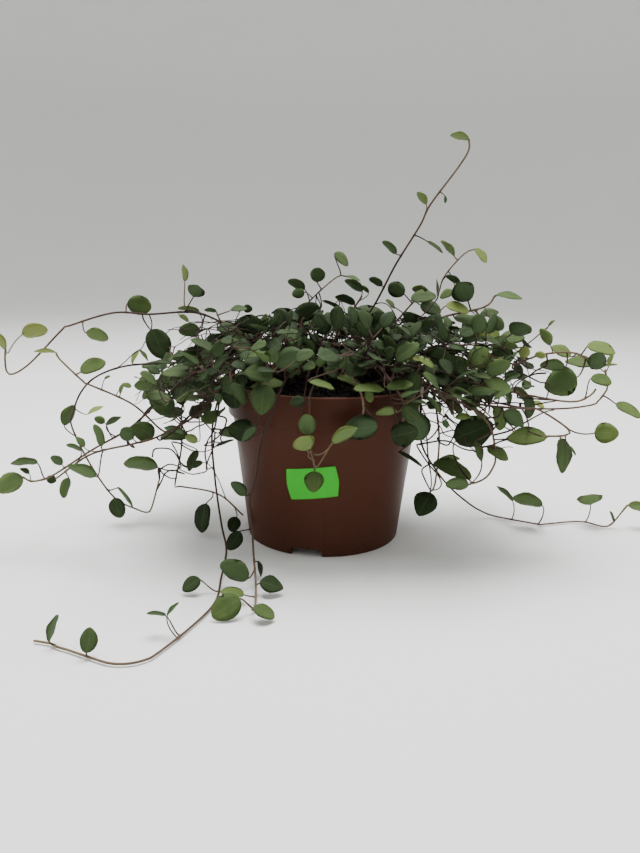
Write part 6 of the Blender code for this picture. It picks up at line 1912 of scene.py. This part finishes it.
def label_material():
    """A strong green, a little uneven, with paper fibres as a fine bump."""
    net = Net("label", Specular_IOR_Level=0.08)
    cloud = net.noise(160.0, 3.0)
    fibre = net.noise(4200.0, 3.0, 0.7)
    skin = net.mix(cloud, (0.034, 0.405, 0.028), (0.046, 0.450, 0.036))
    return net.put(Base_Color=skin, Roughness=0.50 + fibre * 0.12, Normal=net.bump(fibre, 0.00006, 0.5))


points, faces = label_mesh()
label = array_mesh("fine_label", points, faces, {})
label.set_sharp_from_angle(angle=math.radians(LABEL_SHARP))
label.materials.append(label_material())
show("fine_label", label, "price_label")
print("label faces:", len(label.polygons))

# %% [markdown]
# ## Floor, light and camera
# The plant stands on a plain pale floor in soft light from above and both sides, as under a diffusing
# sheet. The camera looks at it from the front, a little from above, at the photograph's distance.

# %% The floor and the light
FLOOR_FLAT = 1.6  # metres from the middle to where the floor starts to rise
FLOOR_RISE = 1.4
WALL_TALL = 2.6
FLOOR_SIDES = 96
BEND_RINGS = 13


def floor_mesh():
    """A flat disc whose edge rises all round in a quarter circle and goes on as an upright wall."""
    bend = np.linspace(0.0, np.pi / 2, BEND_RINGS)
    radius = np.concatenate([[0.001], FLOOR_FLAT + FLOOR_RISE * np.sin(bend), [FLOOR_FLAT + FLOOR_RISE]])
    height = np.concatenate([[0.0], FLOOR_RISE * (1.0 - np.cos(bend)), [WALL_TALL]])
    turn = np.linspace(0, 2 * np.pi, FLOOR_SIDES + 1)[:-1]
    points = around(radius[:, None], turn, height[:, None]).reshape(-1, 3)
    wall = tube_faces(len(radius), len(turn))[:(len(radius) - 1) * len(turn), ::-1]
    mesh = bpy.data.meshes.new("floor")
    mesh.from_pydata(points.tolist(), [], wall.tolist())
    mesh.shade_smooth()
    return mesh


def floor_material():
    """Pale grey, matt, barely uneven, and painted paler up the wall, as painted light on the backdrop."""
    net = Net("floor", Roughness=0.9, Specular_IOR_Level=0.15)
    place = net.node("ShaderNodeTexCoord", output=3)
    height = net.node("ShaderNodeSeparateXYZ", inputs={0: place}, output=2)
    skin = net.mix(net.noise(6.0, 3.0), (0.76, 0.76, 0.745), (0.79, 0.79, 0.775))
    # Painted light: the floor is mixed paler as it rises into the wall.
    return net.put(Base_Color=net.mix(net.math("MULTIPLY", height, 1.1, clamp=True), skin,
                                      (0.94, 0.94, 0.925)))


floor = placed("floor", floor_mesh())
floor.data.materials.append(floor_material())

world = bpy.data.worlds.new("studio")
world.use_nodes = True
world.node_tree.nodes["Background"].inputs["Color"].default_value = (0.80, 0.80, 0.79, 1.0)
world.node_tree.nodes["Background"].inputs["Strength"].default_value = 0.74
bpy.context.scene.world = world


def soft_light(name, place, aim, size, power, colour=(1.0, 1.0, 1.0)):
    """A square area light at a place, in metres, turned to face its aim."""
    light = bpy.data.lights.new(name, "AREA")
    light.size = size
    light.energy = power
    light.color = colour
    lamp = placed(name, light)
    lamp.location = place
    ray = np.array(aim) - np.array(place)
    lamp.rotation_euler = (math.acos(-ray[2] / np.linalg.norm(ray)), 0.0,
                           math.atan2(ray[1], ray[0]) - math.pi / 2)


soft_light("above", (-0.02, 0.18, 1.20), (0.0, -0.08, 0.0), 0.8, 36.0, (0.98, 0.99, 1.0))
soft_light("left", (-1.0, 0.05, 0.60), (0.0, 0.03, 0.06), 0.8, 3.0)
soft_light("right", (1.05, 0.10, 0.60), (0.0, 0.03, 0.06), 0.8, 2.5)

# %% The camera
FOCAL_PIXELS = 750.0
FRAME_TALL = 853.0
SENSOR = 36.0
PITCH = 13.15  # degrees below level
ROLL = 0.85  # degrees

camera = placed("camera", bpy.data.cameras.new("camera"))
camera.data.sensor_width = SENSOR
camera.data.lens = SENSOR * FOCAL_PIXELS / FRAME_TALL
camera.data.clip_start = 0.01
camera.location = EYE * MM + POT_PLACE
pitch, roll = math.radians(90 - PITCH), math.radians(ROLL)
camera.rotation_euler = (pitch, 0.0, 0.0)
camera.rotation_euler.rotate_axis("Z", roll)
bpy.context.scene.camera = camera
print("lens:", round(camera.data.lens, 2), "mm")
